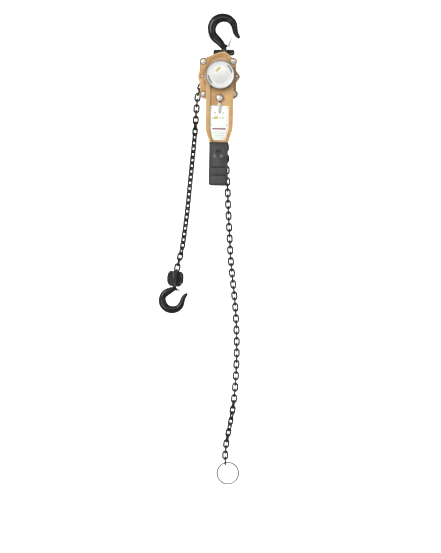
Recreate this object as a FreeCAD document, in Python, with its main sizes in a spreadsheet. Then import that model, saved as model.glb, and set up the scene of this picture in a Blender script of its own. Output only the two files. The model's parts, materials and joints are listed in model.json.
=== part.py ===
import FreeCAD, Part
import math
import os
import Sketcher

# Lever chain hoist, 1.5 t class. Millimetres, +Z up, front face towards -Y.
# The origin is the seat of the top hook, where the whole hoist hangs.

Vector = FreeCAD.Vector
doc = FreeCAD.newDocument("LeverHoist")

DIMENSIONS = {
    # main shaft axis, from the top hook's seat, and the lever's lean in its rest pose
    "shaft_x": -13.7, "shaft_z": -193.7, "lever_lean": 1.2,
    # side plates and the outline of the covers, measured from the shaft axis
    "plate_gap": 30, "plate_thickness": 4, "cover_left": 74.5, "cover_right": 58,
    "cover_top": 86, "cover_bottom": 82, "shoulder_height": 52, "ear_left": 81, "ear_right": 74,
    "ear_height": 22, "wall": 2.5, "brake_cover_depth": 28, "gear_cover_depth": 39,
    # corner stays and ear screws
    "stay_left": 60, "stay_right": 47, "stay_up": 49.5, "stay_down": 67.3, "stay_radius": 6,
    "stud_radius": 5, "nut_width": 18, "nut_height": 8, "tower_radius": 14.5, "recess_radius": 12,
    "ear_screw_left": 65, "ear_screw_right": 60.5, "ear_screw_radius": 3,
    # chain: 7.1 mm wire, 21 mm inner link length
    "wire": 7.1, "link_length": 21, "link_width": 9.8, "link_gap": 0.4,
    "load_links": 37, "slack_links": 68,
    # load sheave and its bearings
    "sheave_land": 26.4, "sheave_groove": 20.3, "sheave_flange": 33, "groove_width": 9.8,
    "land_width": 24.8, "flange_width": 29, "journal_radius": 17, "bearing_radius": 22,
    "gear_seat_radius": 15, "running_fit": 0.06,
    # gear train
    "gear_module": 1.5, "pinion_teeth": 12, "gear_teeth": 33, "gear_line_angle": 130,
    "load_gear_near": 22, "load_gear_width": 11, "first_gear_near": 38, "first_gear_width": 8,
    "shaft_radius": 8.9, "idler_radius": 5,
    # brake stack, counted from the front plate
    "brake_start": 3, "hub_flange": 4, "hub_flange_radius": 30, "hub_boss_radius": 13,
    "lining": 2.5, "lining_radius": 28, "ratchet_thickness": 4.8, "ratchet_radius": 36,
    "ratchet_root": 32.5, "ratchet_teeth": 24, "pressure_flange": 3.3, "change_hub_radius": 16,
    "change_gear_radius": 24, "change_root": 19, "change_teeth": 12,
    "pawl_pivot_radius": 47, "pawl_angle": 60, "pawl_pin_radius": 3.5, "pawl_boss_radius": 6.5,
    # lever
    "lever_back": -51, "lever_split": -68, "lever_front": -87, "channel_floor": -79,
    "lever_half_width": 49.5, "lever_waist": 196, "neck_top": 240.8, "neck_half_width": 24,
    "neck_end": 380, "channel_half_width": 34.7, "lever_shoulder": 33.5, "lever_wall": 3,
    "grip_top": 241, "grip_end": 397, "grip_half_width": 35, "grip_back": -50, "grip_front": -86,
    # name plate and selector
    "plate_top": 111, "plate_waist": 191, "plate_foot": 233.5, "plate_half_width": 34.3,
    "plate_foot_half_width": 23.5, "plate_sheet": 1, "selector_drop": 82.3, "knob_radius": 13.2,
    "pointer_length": 57, "selector_pin_radius": 4, "changeover_reach": 57,
    # handwheel
    "wheel_radius": 51.5, "wheel_back": -90, "wheel_front": -108, "slot_radius": 41.5,
    # top fitting
    "yoke_half_length": 38.5, "yoke_top": -99, "yoke_foot": -121, "yoke_half_depth": 14,
    "tongue_foot": -139, "tongue_half_width": 13, "top_pin_z": -127, "top_pin_radius": 6,
    "stop_radius": 4, "stop_gap": 0.1,
    # hooks: necks are measured from the seat at size 1, which is the top hook's size
    "shank_radius": 8, "head_radius": 11, "head_height": 6, "shank_length": 13,
    "top_neck": 97, "bottom_neck": 77, "bottom_hook_size": 0.87, "latch_sheet": 1.6, "latch_pin_radius": 2.5,
    # bottom block, in its own leaning frame under the last load link
    "block_lean": 6.5, "block_half_width": 30.5, "block_height": 56, "block_half_depth": 19,
    "block_rise": 12, "chain_slack": 1.5, "neck_gap": 3,
    "relief_half_width": 15.5, "relief_half_depth": 9, "chain_slot_play": 1.8, "chain_slot_half_depth": 16.5,
    "chain_pin_radius": 4.5, "block_bolt_radius": 4, "bolt_sink": 6, "bolt_notch_half": 8,
    # ring at the free end of the chain
    "ring_radius": 38.5, "ring_wire": 6,
}


class Size:
    """A number together with the sheet expression that gives it."""

    def __init__(self, value, text=None):
        self.value = float(value)
        self.text = text if text else repr(float(value))

    def __add__(self, other):
        other = size(other)
        return Size(self.value + other.value, "(%s + %s)" % (self.text, other.text))

    def __sub__(self, other):
        other = size(other)
        return Size(self.value - other.value, "(%s - %s)" % (self.text, other.text))

    def __mul__(self, other):
        other = size(other)
        return Size(self.value * other.value, "(%s * %s)" % (self.text, other.text))

    def __truediv__(self, other):
        other = size(other)
        return Size(self.value / other.value, "(%s / %s)" % (self.text, other.text))

    def __neg__(self):
        return Size(-self.value, "(-1 * %s)" % self.text)

    def __radd__(self, other):
        return size(other) + self

    def __rsub__(self, other):
        return size(other) - self

    def __rmul__(self, other):
        return size(other) * self

    def __float__(self):
        return self.value


def size(thing):
    return thing if isinstance(thing, Size) else Size(thing)


class Dimensions:
    """Every named value of the sheet, as an attribute."""


sheet = doc.addObject("Spreadsheet::Sheet", "Sizes")
d = Dimensions()
for row, (alias, number) in enumerate(DIMENSIONS.items(), start=1):
    sheet.set("A%d" % row, alias)
    sheet.set("B%d" % row, str(number))
    sheet.setAlias("B%d" % row, alias)
    setattr(d, alias, Size(number, "Sizes." + alias))
doc.recompute()

NODES = []


# ---------------------------------------------------------------- modelling helpers

def bind(thing, path, amount):
    """Tie one property of a document object to the sheet."""
    thing.setExpression(path, size(amount).text)


def new_body(name, x=0, y=0, z=0, lean=None):
    body = doc.addObject("PartDesign::Body", name)
    body.Label = name
    body.AllowCompound = True
    put(body, x, y, z, lean)
    NODES.append(body)
    return body


def put(thing, x, y, z, lean=None):
    """Place a piece, its position and lean about Y tied to the sheet."""
    turn = FreeCAD.Rotation(Vector(0, 1, 0), float(size(lean or 0)))
    thing.Placement = FreeCAD.Placement(Vector(float(x), float(y), float(z)), turn)
    for axis, amount in (("x", x), ("y", y), ("z", z)):
        bind(thing, "Placement.Base." + axis, amount)
    if lean is not None:
        bind(thing, "Placement.Rotation.Angle", lean)


def sketch_on(body, name, role, loops, offset=0):
    """A sketch of closed loops: point lists, or ("circle", x, y, radius)."""
    sketch = body.newObject("Sketcher::SketchObject", name)
    plane = [f for f in body.Origin.OriginFeatures if f.Role == role][0]
    sketch.AttachmentSupport = (plane, [""])
    sketch.MapMode = "FlatFace"
    sketch.AttachmentOffset = FreeCAD.Placement(Vector(0, 0, float(size(offset))), FreeCAD.Rotation())
    bind(sketch, "AttachmentOffset.Base.z", offset)
    for loop in loops:
        if loop[0] == "circle":
            draw_circle(sketch, *loop[1:])
        else:
            draw_polygon(sketch, loop)
    return sketch


def draw_circle(sketch, x, y, radius):
    x, y, radius = size(x), size(y), size(radius)
    index = sketch.addGeometry(Part.Circle(Vector(x.value, y.value, 0), Vector(0, 0, 1), radius.value))
    hold_point(sketch, index, 3, x, y)
    rule = sketch.addConstraint(Sketcher.Constraint("Radius", index, radius.value))
    bind(sketch, "Constraints[%d]" % rule, radius)


def draw_polygon(sketch, points):
    points = [(size(x), size(y)) for x, y in points]
    first = sketch.GeometryCount
    for (ax, ay), (bx, by) in zip(points, points[1:] + points[:1]):
        start, end = Vector(ax.value, ay.value, 0), Vector(bx.value, by.value, 0)
        sketch.addGeometry(Part.LineSegment(start, end))
    count = len(points)
    for i in range(count):
        follower = first + (i + 1) % count
        sketch.addConstraint(Sketcher.Constraint("Coincident", first + i, 2, follower, 1))
    for i, (x, y) in enumerate(points):
        hold_point(sketch, first + i, 1, x, y)


def hold_point(sketch, index, place, x, y):
    """Fix a sketch point at named distances from the sketch's origin."""
    for kind, amount in (("DistanceX", x), ("DistanceY", y)):
        rule = sketch.addConstraint(Sketcher.Constraint(kind, -1, 1, index, place, amount.value))
        bind(sketch, "Constraints[%d]" % rule, amount)


def extrude(body, loops, back, front, name="pad"):
    """Pad outlines drawn in the XZ plane from y = back forward to y = front."""
    sketch = sketch_on(body, body.Name + "_" + name + "_outline", "XZ_Plane", loops, -size(back))
    pad = body.newObject("PartDesign::Pad", body.Name + "_" + name)
    pad.Profile = sketch
    length = size(back) - size(front)
    pad.Length = length.value
    bind(pad, "Length", length)
    return pad


def carve(body, loops, start, end, name):
    """Pocket outlines drawn in the XZ plane between y = start and y = end."""
    sketch = sketch_on(body, body.Name + "_" + name + "_outline", "XZ_Plane", loops, -size(start))
    doc.recompute()
    before = body.Shape.Volume
    pocket = body.newObject("PartDesign::Pocket", body.Name + "_" + name)
    pocket.Profile = sketch
    forward = float(size(end)) < float(size(start))
    pocket.Reversed = forward
    length = size(start) - size(end) if forward else size(end) - size(start)
    pocket.Length = length.value
    bind(pocket, "Length", length)
    doc.recompute()
    if body.Shape.Volume >= before:
        raise ValueError("%s: pocket %s cuts nothing" % (body.Name, name))
    return pocket


def turn(body, loops, plane="XY_Plane", name="turned"):
    """Revolve (radius, height) outlines about the body's Y axis, or Z from the XZ plane."""
    sketch = sketch_on(body, body.Name + "_" + name + "_outline", plane, loops)
    revolution = body.newObject("PartDesign::Revolution", body.Name + "_" + name)
    revolution.Profile = sketch
    revolution.ReferenceAxis = (sketch, ["V_Axis"])
    revolution.Angle = 360
    return revolution


def round_edges(body, radius, choose):
    """Fillet the edges of the body's last shape that choose() accepts."""
    doc.recompute()
    base = body.Tip
    names = ["Edge%d" % i for i, edge in enumerate(base.Shape.Edges, start=1) if choose(edge)]
    fillet = body.newObject("PartDesign::Fillet", body.Name + "_rounding")
    fillet.Base = (base, names)
    fillet.Radius = float(size(radius))
    bind(fillet, "Radius", radius)
    return fillet


def runs_along_y(edge):
    if edge.Curve.TypeId != "Part::GeomLine":
        return False
    return abs(abs(edge.Curve.Direction.y) - 1) < 1e-6


def ring_section(inner, outer, back, front):
    """Half section of a plain ring for turn()."""
    return [(inner, back), (outer, back), (outer, front), (inner, front)]


def hexagon(x, z, width):
    """Corner points of a hexagon of the given width across its flats."""
    reach = size(width) / math.sqrt(3)
    angles = [math.radians(60 * k) for k in range(6)]
    return [(x + reach * math.cos(a), z + reach * math.sin(a)) for a in angles]


def polar(radius, degrees):
    """A point at a radius and an angle, the angle a plain number."""
    return radius * math.cos(math.radians(degrees)), radius * math.sin(math.radians(degrees))


def shaped(name, shape, place=None):
    """A piece whose shape is worked out from the sheet's values in code."""
    piece = doc.addObject("Part::Feature", name)
    piece.Label = name
    piece.Shape = shape
    if place:
        piece.Placement = place
    NODES.append(piece)
    return piece


# ---------------------------------------------------------------- shared levels

plate_inner = d.plate_gap / 2
plate_outer = plate_inner + d.plate_thickness
brake_front = -(plate_outer + d.brake_cover_depth)
gear_back = plate_outer + d.gear_cover_depth

hub_back = -(plate_outer + d.brake_start)
lining_1_back = hub_back - d.hub_flange
lining_1_front = lining_1_back - d.lining
ratchet_back = lining_1_front - 0.2
ratchet_front = ratchet_back - d.ratchet_thickness
lining_2_back = ratchet_front - 0.2
lining_2_front = lining_2_back - d.lining
pressure_front = lining_2_front - d.pressure_flange

STAYS = [(-d.stay_left, d.stay_up), (d.stay_right, d.stay_up),
         (-d.stay_left, -d.stay_down), (d.stay_right + 3, -d.stay_down)]
EARS = [(-d.ear_screw_left, Size(-4)), (d.ear_screw_right, Size(-5))]

pitch_radius = d.gear_module * d.gear_teeth / 2
pinion_pitch_radius = d.gear_module * d.pinion_teeth / 2
centre_distance = pitch_radius + pinion_pitch_radius
GEAR_LINE = float(d.gear_line_angle)
IDLERS = {"upper": polar(centre_distance, GEAR_LINE), "lower": polar(centre_distance, GEAR_LINE + 180)}


def cover_outline(inset=0, ears=True):
    """Outline of the hoist body round the shaft axis, moved in by inset."""
    left, right = d.cover_left - inset, d.cover_right - inset
    top, bottom = d.cover_top - inset, d.cover_bottom - inset
    shoulder = d.shoulder_height - inset / 2
    half_ear = d.ear_height - inset / 2
    points = [(-left, shoulder), (-36, top - 15), (-2, top - 3), (17, top), (31, top - 11),
              (right - 7, shoulder + 5), (right, shoulder - 4)]
    if ears:
        points += [(right, half_ear - 5), (d.ear_right - inset, -5), (right, -half_ear - 5)]
    points += [(right, -72), (right - 5, -bottom), (-left + 14, -bottom), (-left + 4, -bottom + 12)]
    if ears:
        points += [(-left, -half_ear - 4), (-(d.ear_left - inset), -4), (-left, half_ear - 4)]
    return points


# ---------------------------------------------------------------- side plates and covers

def side_plate(name, back, front, ears):
    body = new_body(name, d.shaft_x, 0, d.shaft_z)
    holes = [("circle", 0, 0, d.bearing_radius)]
    holes += [("circle", x, z, d.stud_radius + 0.1) for x, z in STAYS]
    holes.append(("circle", -d.shaft_x, d.top_pin_z - d.shaft_z, d.top_pin_radius))
    if ears:
        holes += [("circle", x, z, d.ear_screw_radius) for x, z in EARS]
        holes += [("circle", *polar(d.pawl_pivot_radius, angle), d.pawl_pin_radius)
                  for angle in pawl_pivot_angles()]
    else:
        holes += [("circle", x, z, d.idler_radius + d.running_fit) for x, z in IDLERS.values()]
    extrude(body, [cover_outline(2, ears)] + holes, back, front)
    return body


def pawl_pivot_angles():
    """Two pawls, half a turn apart; each pivot is 42 degrees on from its nose."""
    return [float(d.pawl_angle) + 42, float(d.pawl_angle) + 222]


side_plate("front_side_plate", -plate_inner, -plate_outer, True)
side_plate("rear_side_plate", plate_outer, plate_inner, False)


def brake_cover():
    """Front casting: a shell with a tower and a nut recess at each corner stay."""
    body = new_body("brake_cover", d.shaft_x, 0, d.shaft_z)
    extrude(body, [cover_outline()], -plate_outer, brake_front)
    carve(body, [cover_outline(d.wall)], -plate_outer, brake_front + d.wall, "cavity")
    extrude(body, [("circle", x, z, d.tower_radius) for x, z in STAYS],
            -plate_outer, brake_front, "towers")
    extrude(body, [("circle", x, z, d.ear_screw_radius + 6.5) for x, z in EARS],
            -plate_outer, brake_front, "ear_towers")
    recess_floor = brake_front + 11
    carve(body, [("circle", x, z, d.recess_radius) for x, z in STAYS],
          brake_front, recess_floor, "recesses")
    carve(body, [("circle", x, z, d.ear_screw_radius + 4) for x, z in EARS],
          brake_front, recess_floor, "ear_recesses")
    carve(body, [("circle", x, z, d.stud_radius + 0.3) for x, z in STAYS],
          brake_front, -plate_outer, "stay_holes")
    carve(body, [("circle", x, z, d.ear_screw_radius + 0.1) for x, z in EARS],
          brake_front, -plate_outer, "ear_holes")
    carve(body, [("circle", 0, 0, d.change_hub_radius + 4)], brake_front, brake_front + d.wall + 1,
          "hub_opening")


def gear_cover():
    """Rear casting: a shell with bored bosses for the shafts and posts for the stays."""
    body = new_body("gear_cover", d.shaft_x, 0, d.shaft_z)
    extrude(body, [cover_outline(0, False)], gear_back, plate_outer)
    carve(body, [cover_outline(d.wall, False)], plate_outer, gear_back - d.wall, "cavity")
    posts = [("circle", x, z, d.stud_radius + 4) for x, z in STAYS]
    extrude(body, posts, gear_back, plate_outer, "posts")
    boss_front = d.first_gear_near + d.first_gear_width + 1.5
    bosses = [("circle", x, z, d.idler_radius + 4) for x, z in IDLERS.values()]
    extrude(body, bosses + [("circle", 0, 0, 10)], gear_back, boss_front, "bosses")
    carve(body, [("circle", x, z, d.stud_radius + 0.3) for x, z in STAYS],
          gear_back, plate_outer, "stay_holes")
    bores = [("circle", x, z, d.idler_radius + d.running_fit) for x, z in IDLERS.values()]
    bores.append(("circle", 0, 0, d.idler_radius + 1 + d.running_fit))
    carve(body, bores, boss_front, gear_back - 1.5, "bores")


brake_cover()
gear_cover()


def stay_bolts():
    """Four shouldered studs that tie covers and plates together."""
    body = new_body("stay_bolts", d.shaft_x, 0, d.shaft_z)
    front_end, back_end = brake_front + 1, gear_back + d.nut_height + 2
    extrude(body, [("circle", x, z, d.stud_radius) for x, z in STAYS], back_end, front_end, "studs")
    extrude(body, [("circle", x, z, d.stay_radius) for x, z in STAYS],
            plate_inner, -plate_inner, "shoulders")


def stay_nuts():
    body = new_body("stay_nuts", d.shaft_x, 0, d.shaft_z)
    loops = []
    for x, z in STAYS:
        loops += [hexagon(x, z, d.nut_width), ("circle", x, z, d.stud_radius)]
    front_seat = brake_front + 11
    extrude(body, loops, front_seat, front_seat - d.nut_height, "front")
    extrude(body, loops, gear_back + d.nut_height, gear_back, "back")


def ear_screws():
    body = new_body("ear_screws", d.shaft_x, 0, d.shaft_z)
    seat = brake_front + 11
    extrude(body, [("circle", x, z, d.ear_screw_radius) for x, z in EARS], -plate_inner, seat, "shanks")
    extrude(body, [hexagon(x, z, 11) for x, z in EARS], seat, seat - 6, "heads")


stay_bolts()
stay_nuts()
ear_screws()

# Two chain guides under the sheave, and the stop that the yoke's tongue leans on at rest.
stop_x = -d.tongue_half_width - d.stop_gap - d.stop_radius - d.shaft_x
stop_z = d.tongue_foot + d.stop_radius - d.shaft_z
body = new_body("chain_guides", d.shaft_x, 0, d.shaft_z)
extrude(body, [("circle", -38, -33, 8), ("circle", 8, -52, 8), ("circle", stop_x, stop_z, d.stop_radius)],
        plate_inner, -plate_inner)

body = new_body("sheave_bearings", d.shaft_x, 0, d.shaft_z)
bearing_bore = d.journal_radius + d.running_fit
turn(body, [ring_section(bearing_bore, d.bearing_radius, plate_inner, plate_outer),
            ring_section(bearing_bore, d.bearing_radius, -plate_inner, -plate_outer)])


# ---------------------------------------------------------------- load sheave and gear train

def load_sheave():
    """Grooved and pocketed wheel with two journals and a seat for the load gear."""
    body = new_body("load_sheave", d.shaft_x, 0, d.shaft_z)
    bore = d.shaft_radius + d.running_fit
    front_end, back_end = -plate_outer - 0.6, d.load_gear_near + d.load_gear_width + 1
    seat_start = plate_outer + 1.5
    flange, land, groove = d.flange_width / 2, d.land_width / 2, d.groove_width / 2
    turn(body, [[(bore, front_end), (d.journal_radius, front_end), (d.journal_radius, -flange),
                 (d.sheave_flange, -flange), (d.sheave_flange, -land), (d.sheave_land, -land),
                 (d.sheave_land, -groove), (d.sheave_groove, -groove), (d.sheave_groove, groove),
                 (d.sheave_land, groove), (d.sheave_land, land), (d.sheave_flange, land),
                 (d.sheave_flange, flange), (d.journal_radius, flange),
                 (d.journal_radius, seat_start), (d.gear_seat_radius, seat_start),
                 (d.gear_seat_radius, back_end), (bore, back_end)]])
    depth = d.sheave_land - 1.6
    reach = d.sheave_land + 1
    pocket = carve(body, [[(-11, depth), (11, depth), (11, reach), (-11, reach)]],
                   -land, land, "pocket")
    pattern = body.newObject("PartDesign::PolarPattern", "load_sheave_pockets")
    pattern.Originals = [pocket]
    axis = [f for f in body.Origin.OriginFeatures if f.Role == "Y_Axis"][0]
    pattern.Axis = (axis, [""])
    pattern.Angle = 360
    pattern.Occurrences = 5
    body.Tip = pattern


load_sheave()


def involute_gear(teeth, near, far, bore, phase, module):
    """Solid spur gear about Y between y = near and far, a tooth centred on phase degrees."""
    pressure = math.radians(20)
    pitch = module * teeth / 2
    base = pitch * math.cos(pressure)
    tip, root = pitch + 0.8 * module, pitch - 1.1 * module
    thinning = 0.07 / pitch
    half_tooth = math.pi / (2 * teeth) - thinning + math.tan(pressure) - pressure
    start = max(base, root)
    radii = [start + (tip - start) * step / 4 for step in range(5)]
    flank = []
    for radius in radii:
        tilt = math.acos(min(1, base / radius))
        flank.append((radius, half_tooth - (math.tan(tilt) - tilt)))
    edges, previous = [], None

    def at(radius, angle):
        return Vector(radius * math.cos(angle), near, radius * math.sin(angle))

    corners = []
    for tooth in range(teeth):
        middle = math.radians(phase) + 2 * math.pi * tooth / teeth
        rising = [at(r, middle - a) for r, a in flank]
        falling = [at(r, middle + a) for r, a in reversed(flank)]
        root_in, root_out = at(root, middle - flank[0][1]), at(root, middle + flank[0][1])
        crest = at(tip, middle)
        corners.append((root_in, rising, crest, falling, root_out, middle))
    for index, (root_in, rising, crest, falling, root_out, middle) in enumerate(corners):
        if previous:
            edges.append(Part.makeLine(previous, root_in))
        if root < start:
            edges.append(Part.makeLine(root_in, rising[0]))
        edges.append(curve_through(rising))
        edges.append(Part.Arc(rising[-1], crest, falling[0]).toShape())
        edges.append(curve_through(falling))
        if root < start:
            edges.append(Part.makeLine(falling[-1], root_out))
        previous = root_out if root < start else falling[-1]
    edges.append(Part.makeLine(previous, corners[0][0] if root < start else corners[0][1][0]))
    face = Part.Face(Part.Wire(edges))
    solid = face.extrude(Vector(0, far - near, 0))
    if bore:
        solid = solid.cut(Part.makeCylinder(bore, far - near, Vector(0, near, 0), Vector(0, 1, 0)))
    return solid


def curve_through(points):
    curve = Part.BSplineCurve()
    curve.interpolate(points)
    return curve.toShape()


def rod(radius, near, far):
    return Part.makeCylinder(radius, far - near, Vector(0, near, 0), Vector(0, 1, 0))


def at_shaft(x=0.0, z=0.0):
    return FreeCAD.Placement(Vector(float(d.shaft_x) + float(x), 0, float(d.shaft_z) + float(z)),
                             FreeCAD.Rotation())


def gear_train():
    module = float(d.gear_module)
    small, large = int(float(d.pinion_teeth)), int(float(d.gear_teeth))
    load_near = float(d.load_gear_near)
    load_far = load_near + float(d.load_gear_width)
    first_near = float(d.first_gear_near)
    first_far = first_near + float(d.first_gear_width)
    cover_end = float(gear_back) - 3
    half_pitch = 180 / large
    load_phase = GEAR_LINE + half_pitch
    shaped("load_gear", involute_gear(large, load_near, load_far, float(d.gear_seat_radius),
                                      load_phase, module), at_shaft())

    shaft_front = float(d.wheel_front) + 8
    shaft = rod(float(d.shaft_radius), shaft_front, load_far + 2)
    pinion = involute_gear(small, load_far + 2, first_far + 0.5, 0, GEAR_LINE, module)
    tail = rod(float(d.idler_radius) + 1, first_far + 0.5, cover_end)
    shaped("drive_shaft", shaft.fuse([pinion, tail]), at_shaft())

    idler = float(d.idler_radius)
    for side, (x, z) in IDLERS.items():
        toward = GEAR_LINE + 180 if side == "upper" else GEAR_LINE
        opposite = (toward + 180 - load_phase) / (2 * half_pitch)
        load_tooth_faces = abs(opposite - round(opposite)) < 0.25
        pinion_phase = toward + (180 / small if load_tooth_faces else 0)
        journal = rod(idler, float(plate_inner) + 0.3, cover_end)
        teeth = involute_gear(small, load_near - 1, load_far + 1, 0, pinion_phase, module)
        seat = rod(idler + 3, load_far + 1, first_far)
        shaped("pinion_shaft_" + side, journal.fuse([teeth, seat]), at_shaft(x, z))
        shaped("first_gear_" + side,
               involute_gear(large, first_near, first_far, idler + 3, toward + half_pitch, module),
               at_shaft(x, z))


gear_train()


# ---------------------------------------------------------------- brake

body = new_body("brake_hub", d.shaft_x, 0, d.shaft_z)
turn(body, [[(d.shaft_radius, hub_back), (d.hub_flange_radius, hub_back),
             (d.hub_flange_radius, lining_1_back), (d.hub_boss_radius, lining_1_back),
             (d.hub_boss_radius, lining_2_front), (d.shaft_radius, lining_2_front)]])

body = new_body("friction_discs", d.shaft_x, 0, d.shaft_z)
lining_bore = d.hub_boss_radius + 0.4
turn(body, [ring_section(lining_bore, d.lining_radius, lining_1_back, lining_1_front),
            ring_section(lining_bore, d.lining_radius, lining_2_back, lining_2_front)])


def ratchet_disc():
    """Saw-toothed disc that runs on the hub between the two linings."""
    body = new_body("ratchet_disc", d.shaft_x, 0, d.shaft_z)
    teeth = int(float(d.ratchet_teeth))
    points = []
    for tooth in range(teeth):
        angle = float(d.pawl_angle) + 360 * tooth / teeth
        points += [polar(d.ratchet_radius, angle), polar(d.ratchet_root, angle + 0.4)]
    extrude(body, [points, ("circle", 0, 0, d.hub_boss_radius + d.running_fit)],
            ratchet_back, ratchet_front)


def pawl(name, pivot_angle):
    """Hook-shaped pawl: its nose drops behind a ratchet tooth 42 degrees before its pivot."""
    body = new_body(name, d.shaft_x, 0, d.shaft_z)
    nose = pivot_angle - 42
    pivot_x, pivot_z = polar(d.pawl_pivot_radius, pivot_angle)
    outline = [polar(d.ratchet_root + 1, nose + 1), polar(d.ratchet_radius + 1, nose + 16),
               polar(d.pawl_pivot_radius - 6, nose + 38), polar(d.pawl_pivot_radius + 6, nose + 40),
               polar(d.ratchet_radius + 6.5, nose + 14), polar(d.ratchet_radius + 2, nose + 1)]
    extrude(body, [outline], ratchet_back, ratchet_front, "arm")
    extrude(body, [("circle", pivot_x, pivot_z, d.pawl_boss_radius)],
            ratchet_back, ratchet_front, "boss")
    carve(body, [("circle", pivot_x, pivot_z, d.pawl_pin_radius + d.running_fit)],
          ratchet_front, ratchet_back, "eye")


ratchet_disc()
for side, angle in zip(("upper", "lower"), pawl_pivot_angles()):
    pawl("pawl_" + side, angle)

PAWL_PIVOTS = [polar(d.pawl_pivot_radius, angle) for angle in pawl_pivot_angles()]
body = new_body("pawl_pins", d.shaft_x, 0, d.shaft_z)
extrude(body, [("circle", x, z, d.pawl_pin_radius) for x, z in PAWL_PIVOTS],
        -plate_inner, ratchet_front - 2)

body = new_body("pawl_springs", d.shaft_x, 0, d.shaft_z)
coils = []
for x, z in PAWL_PIVOTS:
    coils += [("circle", x, z, d.pawl_pin_radius + 2.1), ("circle", x, z, d.pawl_pin_radius + 0.4)]
extrude(body, coils, -plate_outer - 0.3, ratchet_back + 0.6)


def change_gear():
    """Pressure flange and hub with the coarse teeth that the changeover pawl drives."""
    body = new_body("change_gear", d.shaft_x, 0, d.shaft_z)
    hub_front, teeth_back = d.lever_split + 1, d.lever_split + 11
    turn(body, [[(d.shaft_radius, lining_2_front), (d.lining_radius, lining_2_front),
                 (d.lining_radius, pressure_front), (d.change_hub_radius, pressure_front),
                 (d.change_hub_radius, hub_front), (d.shaft_radius, hub_front)]])
    count = int(float(d.change_teeth))
    points = []
    for tooth in range(count):
        angle = 360 * tooth / count
        points += [polar(d.change_root, angle - 10), polar(d.change_gear_radius, angle - 5),
                   polar(d.change_gear_radius, angle + 5), polar(d.change_root, angle + 10)]
    extrude(body, [points, ("circle", 0, 0, d.change_hub_radius - 1)], teeth_back, hub_front, "teeth")


change_gear()


# ---------------------------------------------------------------- handwheel

def handwheel():
    """Dished wheel keyed to the drive shaft; its hub reaches into the lever housing."""
    body = new_body("handwheel", d.shaft_x, 0, d.shaft_z)
    back, front, rim = d.wheel_back, d.wheel_front, d.wheel_radius - 3.5
    hub_back_end = d.lever_split - 0.5
    turn(body, [[(d.shaft_radius, hub_back_end), (14, hub_back_end), (14, back - 1),
                 (rim, back - 1), (rim, back), (d.wheel_radius, back),
                 (d.wheel_radius, front + 1), (rim + 1.5, front), (rim, front + 1),
                 (rim, back - 5), (16, back - 5), (16, back - 6), (d.shaft_radius, back - 6)]])


def handwheel_cap():
    """Bright pressed disc in the wheel's rim with two curved slots."""
    body = new_body("handwheel_cap", d.shaft_x, 0, d.shaft_z)
    edge = d.wheel_radius - 3.5
    turn(body, [[(0, d.wheel_front + 4), (edge - 1.5, d.wheel_front + 4), (edge - 1.5, d.wheel_back - 6),
                 (edge, d.wheel_back - 6), (edge, d.wheel_front + 2), (0, d.wheel_front + 1)]])
    for name, middle in (("slot_upper", 30), ("slot_lower", 204)):
        outer = [polar(d.slot_radius + 2.2, middle + step) for step in range(-20, 21, 5)]
        inner = [polar(d.slot_radius - 2.2, middle + step) for step in range(20, -21, -5)]
        carve(body, [outer + inner], d.wheel_front, d.wheel_front + 5, name)


handwheel()
handwheel_cap()

body = new_body("handwheel_nut", d.shaft_x, 0, d.shaft_z)
extrude(body, [hexagon(0, 0, 26), ("circle", 0, 0, d.shaft_radius)], d.wheel_back - 6, d.wheel_front + 7)


# ---------------------------------------------------------------- lever

def lever_outline(half_width, shoulder, waist, foot):
    """Head round the shaft, straight sides, then a taper to the neck."""
    head = [polar(half_width, angle) for angle in range(0, 181, 15)]
    return head + [(-half_width, -waist), (-shoulder, -foot), (shoulder, -foot), (half_width, -waist)]


def lever_rear_shell():
    body = new_body("lever_rear_shell", d.shaft_x, 0, d.shaft_z, d.lever_lean)
    half, waist = d.lever_half_width, d.lever_waist
    extrude(body, [lever_outline(half, d.lever_shoulder, waist, d.neck_top)], d.lever_back, d.lever_split)
    extrude(body, [neck_outline(d.neck_half_width)], d.grip_back - 5, d.lever_split, "neck")
    carve(body, [neck_hollow()], d.lever_split, d.grip_back - 5 - d.lever_wall, "neck_hollow")
    inner = lever_outline(half - d.lever_wall, d.lever_shoulder - d.lever_wall - 1, waist - 2,
                          d.neck_top - d.lever_wall)
    carve(body, [inner], d.lever_split, d.lever_back - d.wall, "cavity")
    carve(body, [("circle", 0, 0, d.change_hub_radius + d.running_fit)],
          d.lever_split, d.lever_back, "hub_bore")
    pads = [("circle", x, z, 7) for x, z in lever_bolt_places()]
    extrude(body, pads, d.lever_back, d.lever_split, "bolt_pads")
    carve(body, [("circle", x, z, 3.1) for x, z in lever_bolt_places()],
          d.lever_split, d.lever_back, "bolt_holes")


def neck_outline(half_width):
    return [(-half_width, -d.neck_top + 1), (-half_width, -d.neck_end), (half_width, -d.neck_end),
            (half_width, -d.neck_top + 1)]


def neck_hollow():
    side = d.neck_half_width - d.lever_wall
    return [(-side, -d.neck_top - 2), (-side, -d.neck_end + d.lever_wall),
            (side, -d.neck_end + d.lever_wall), (side, -d.neck_top - 2)]


def lever_bolt_places():
    side = d.lever_half_width - 8
    return [(-side, Size(-112)), (side, Size(-112)), (-side, Size(-184)), (side, Size(-184))]


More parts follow.
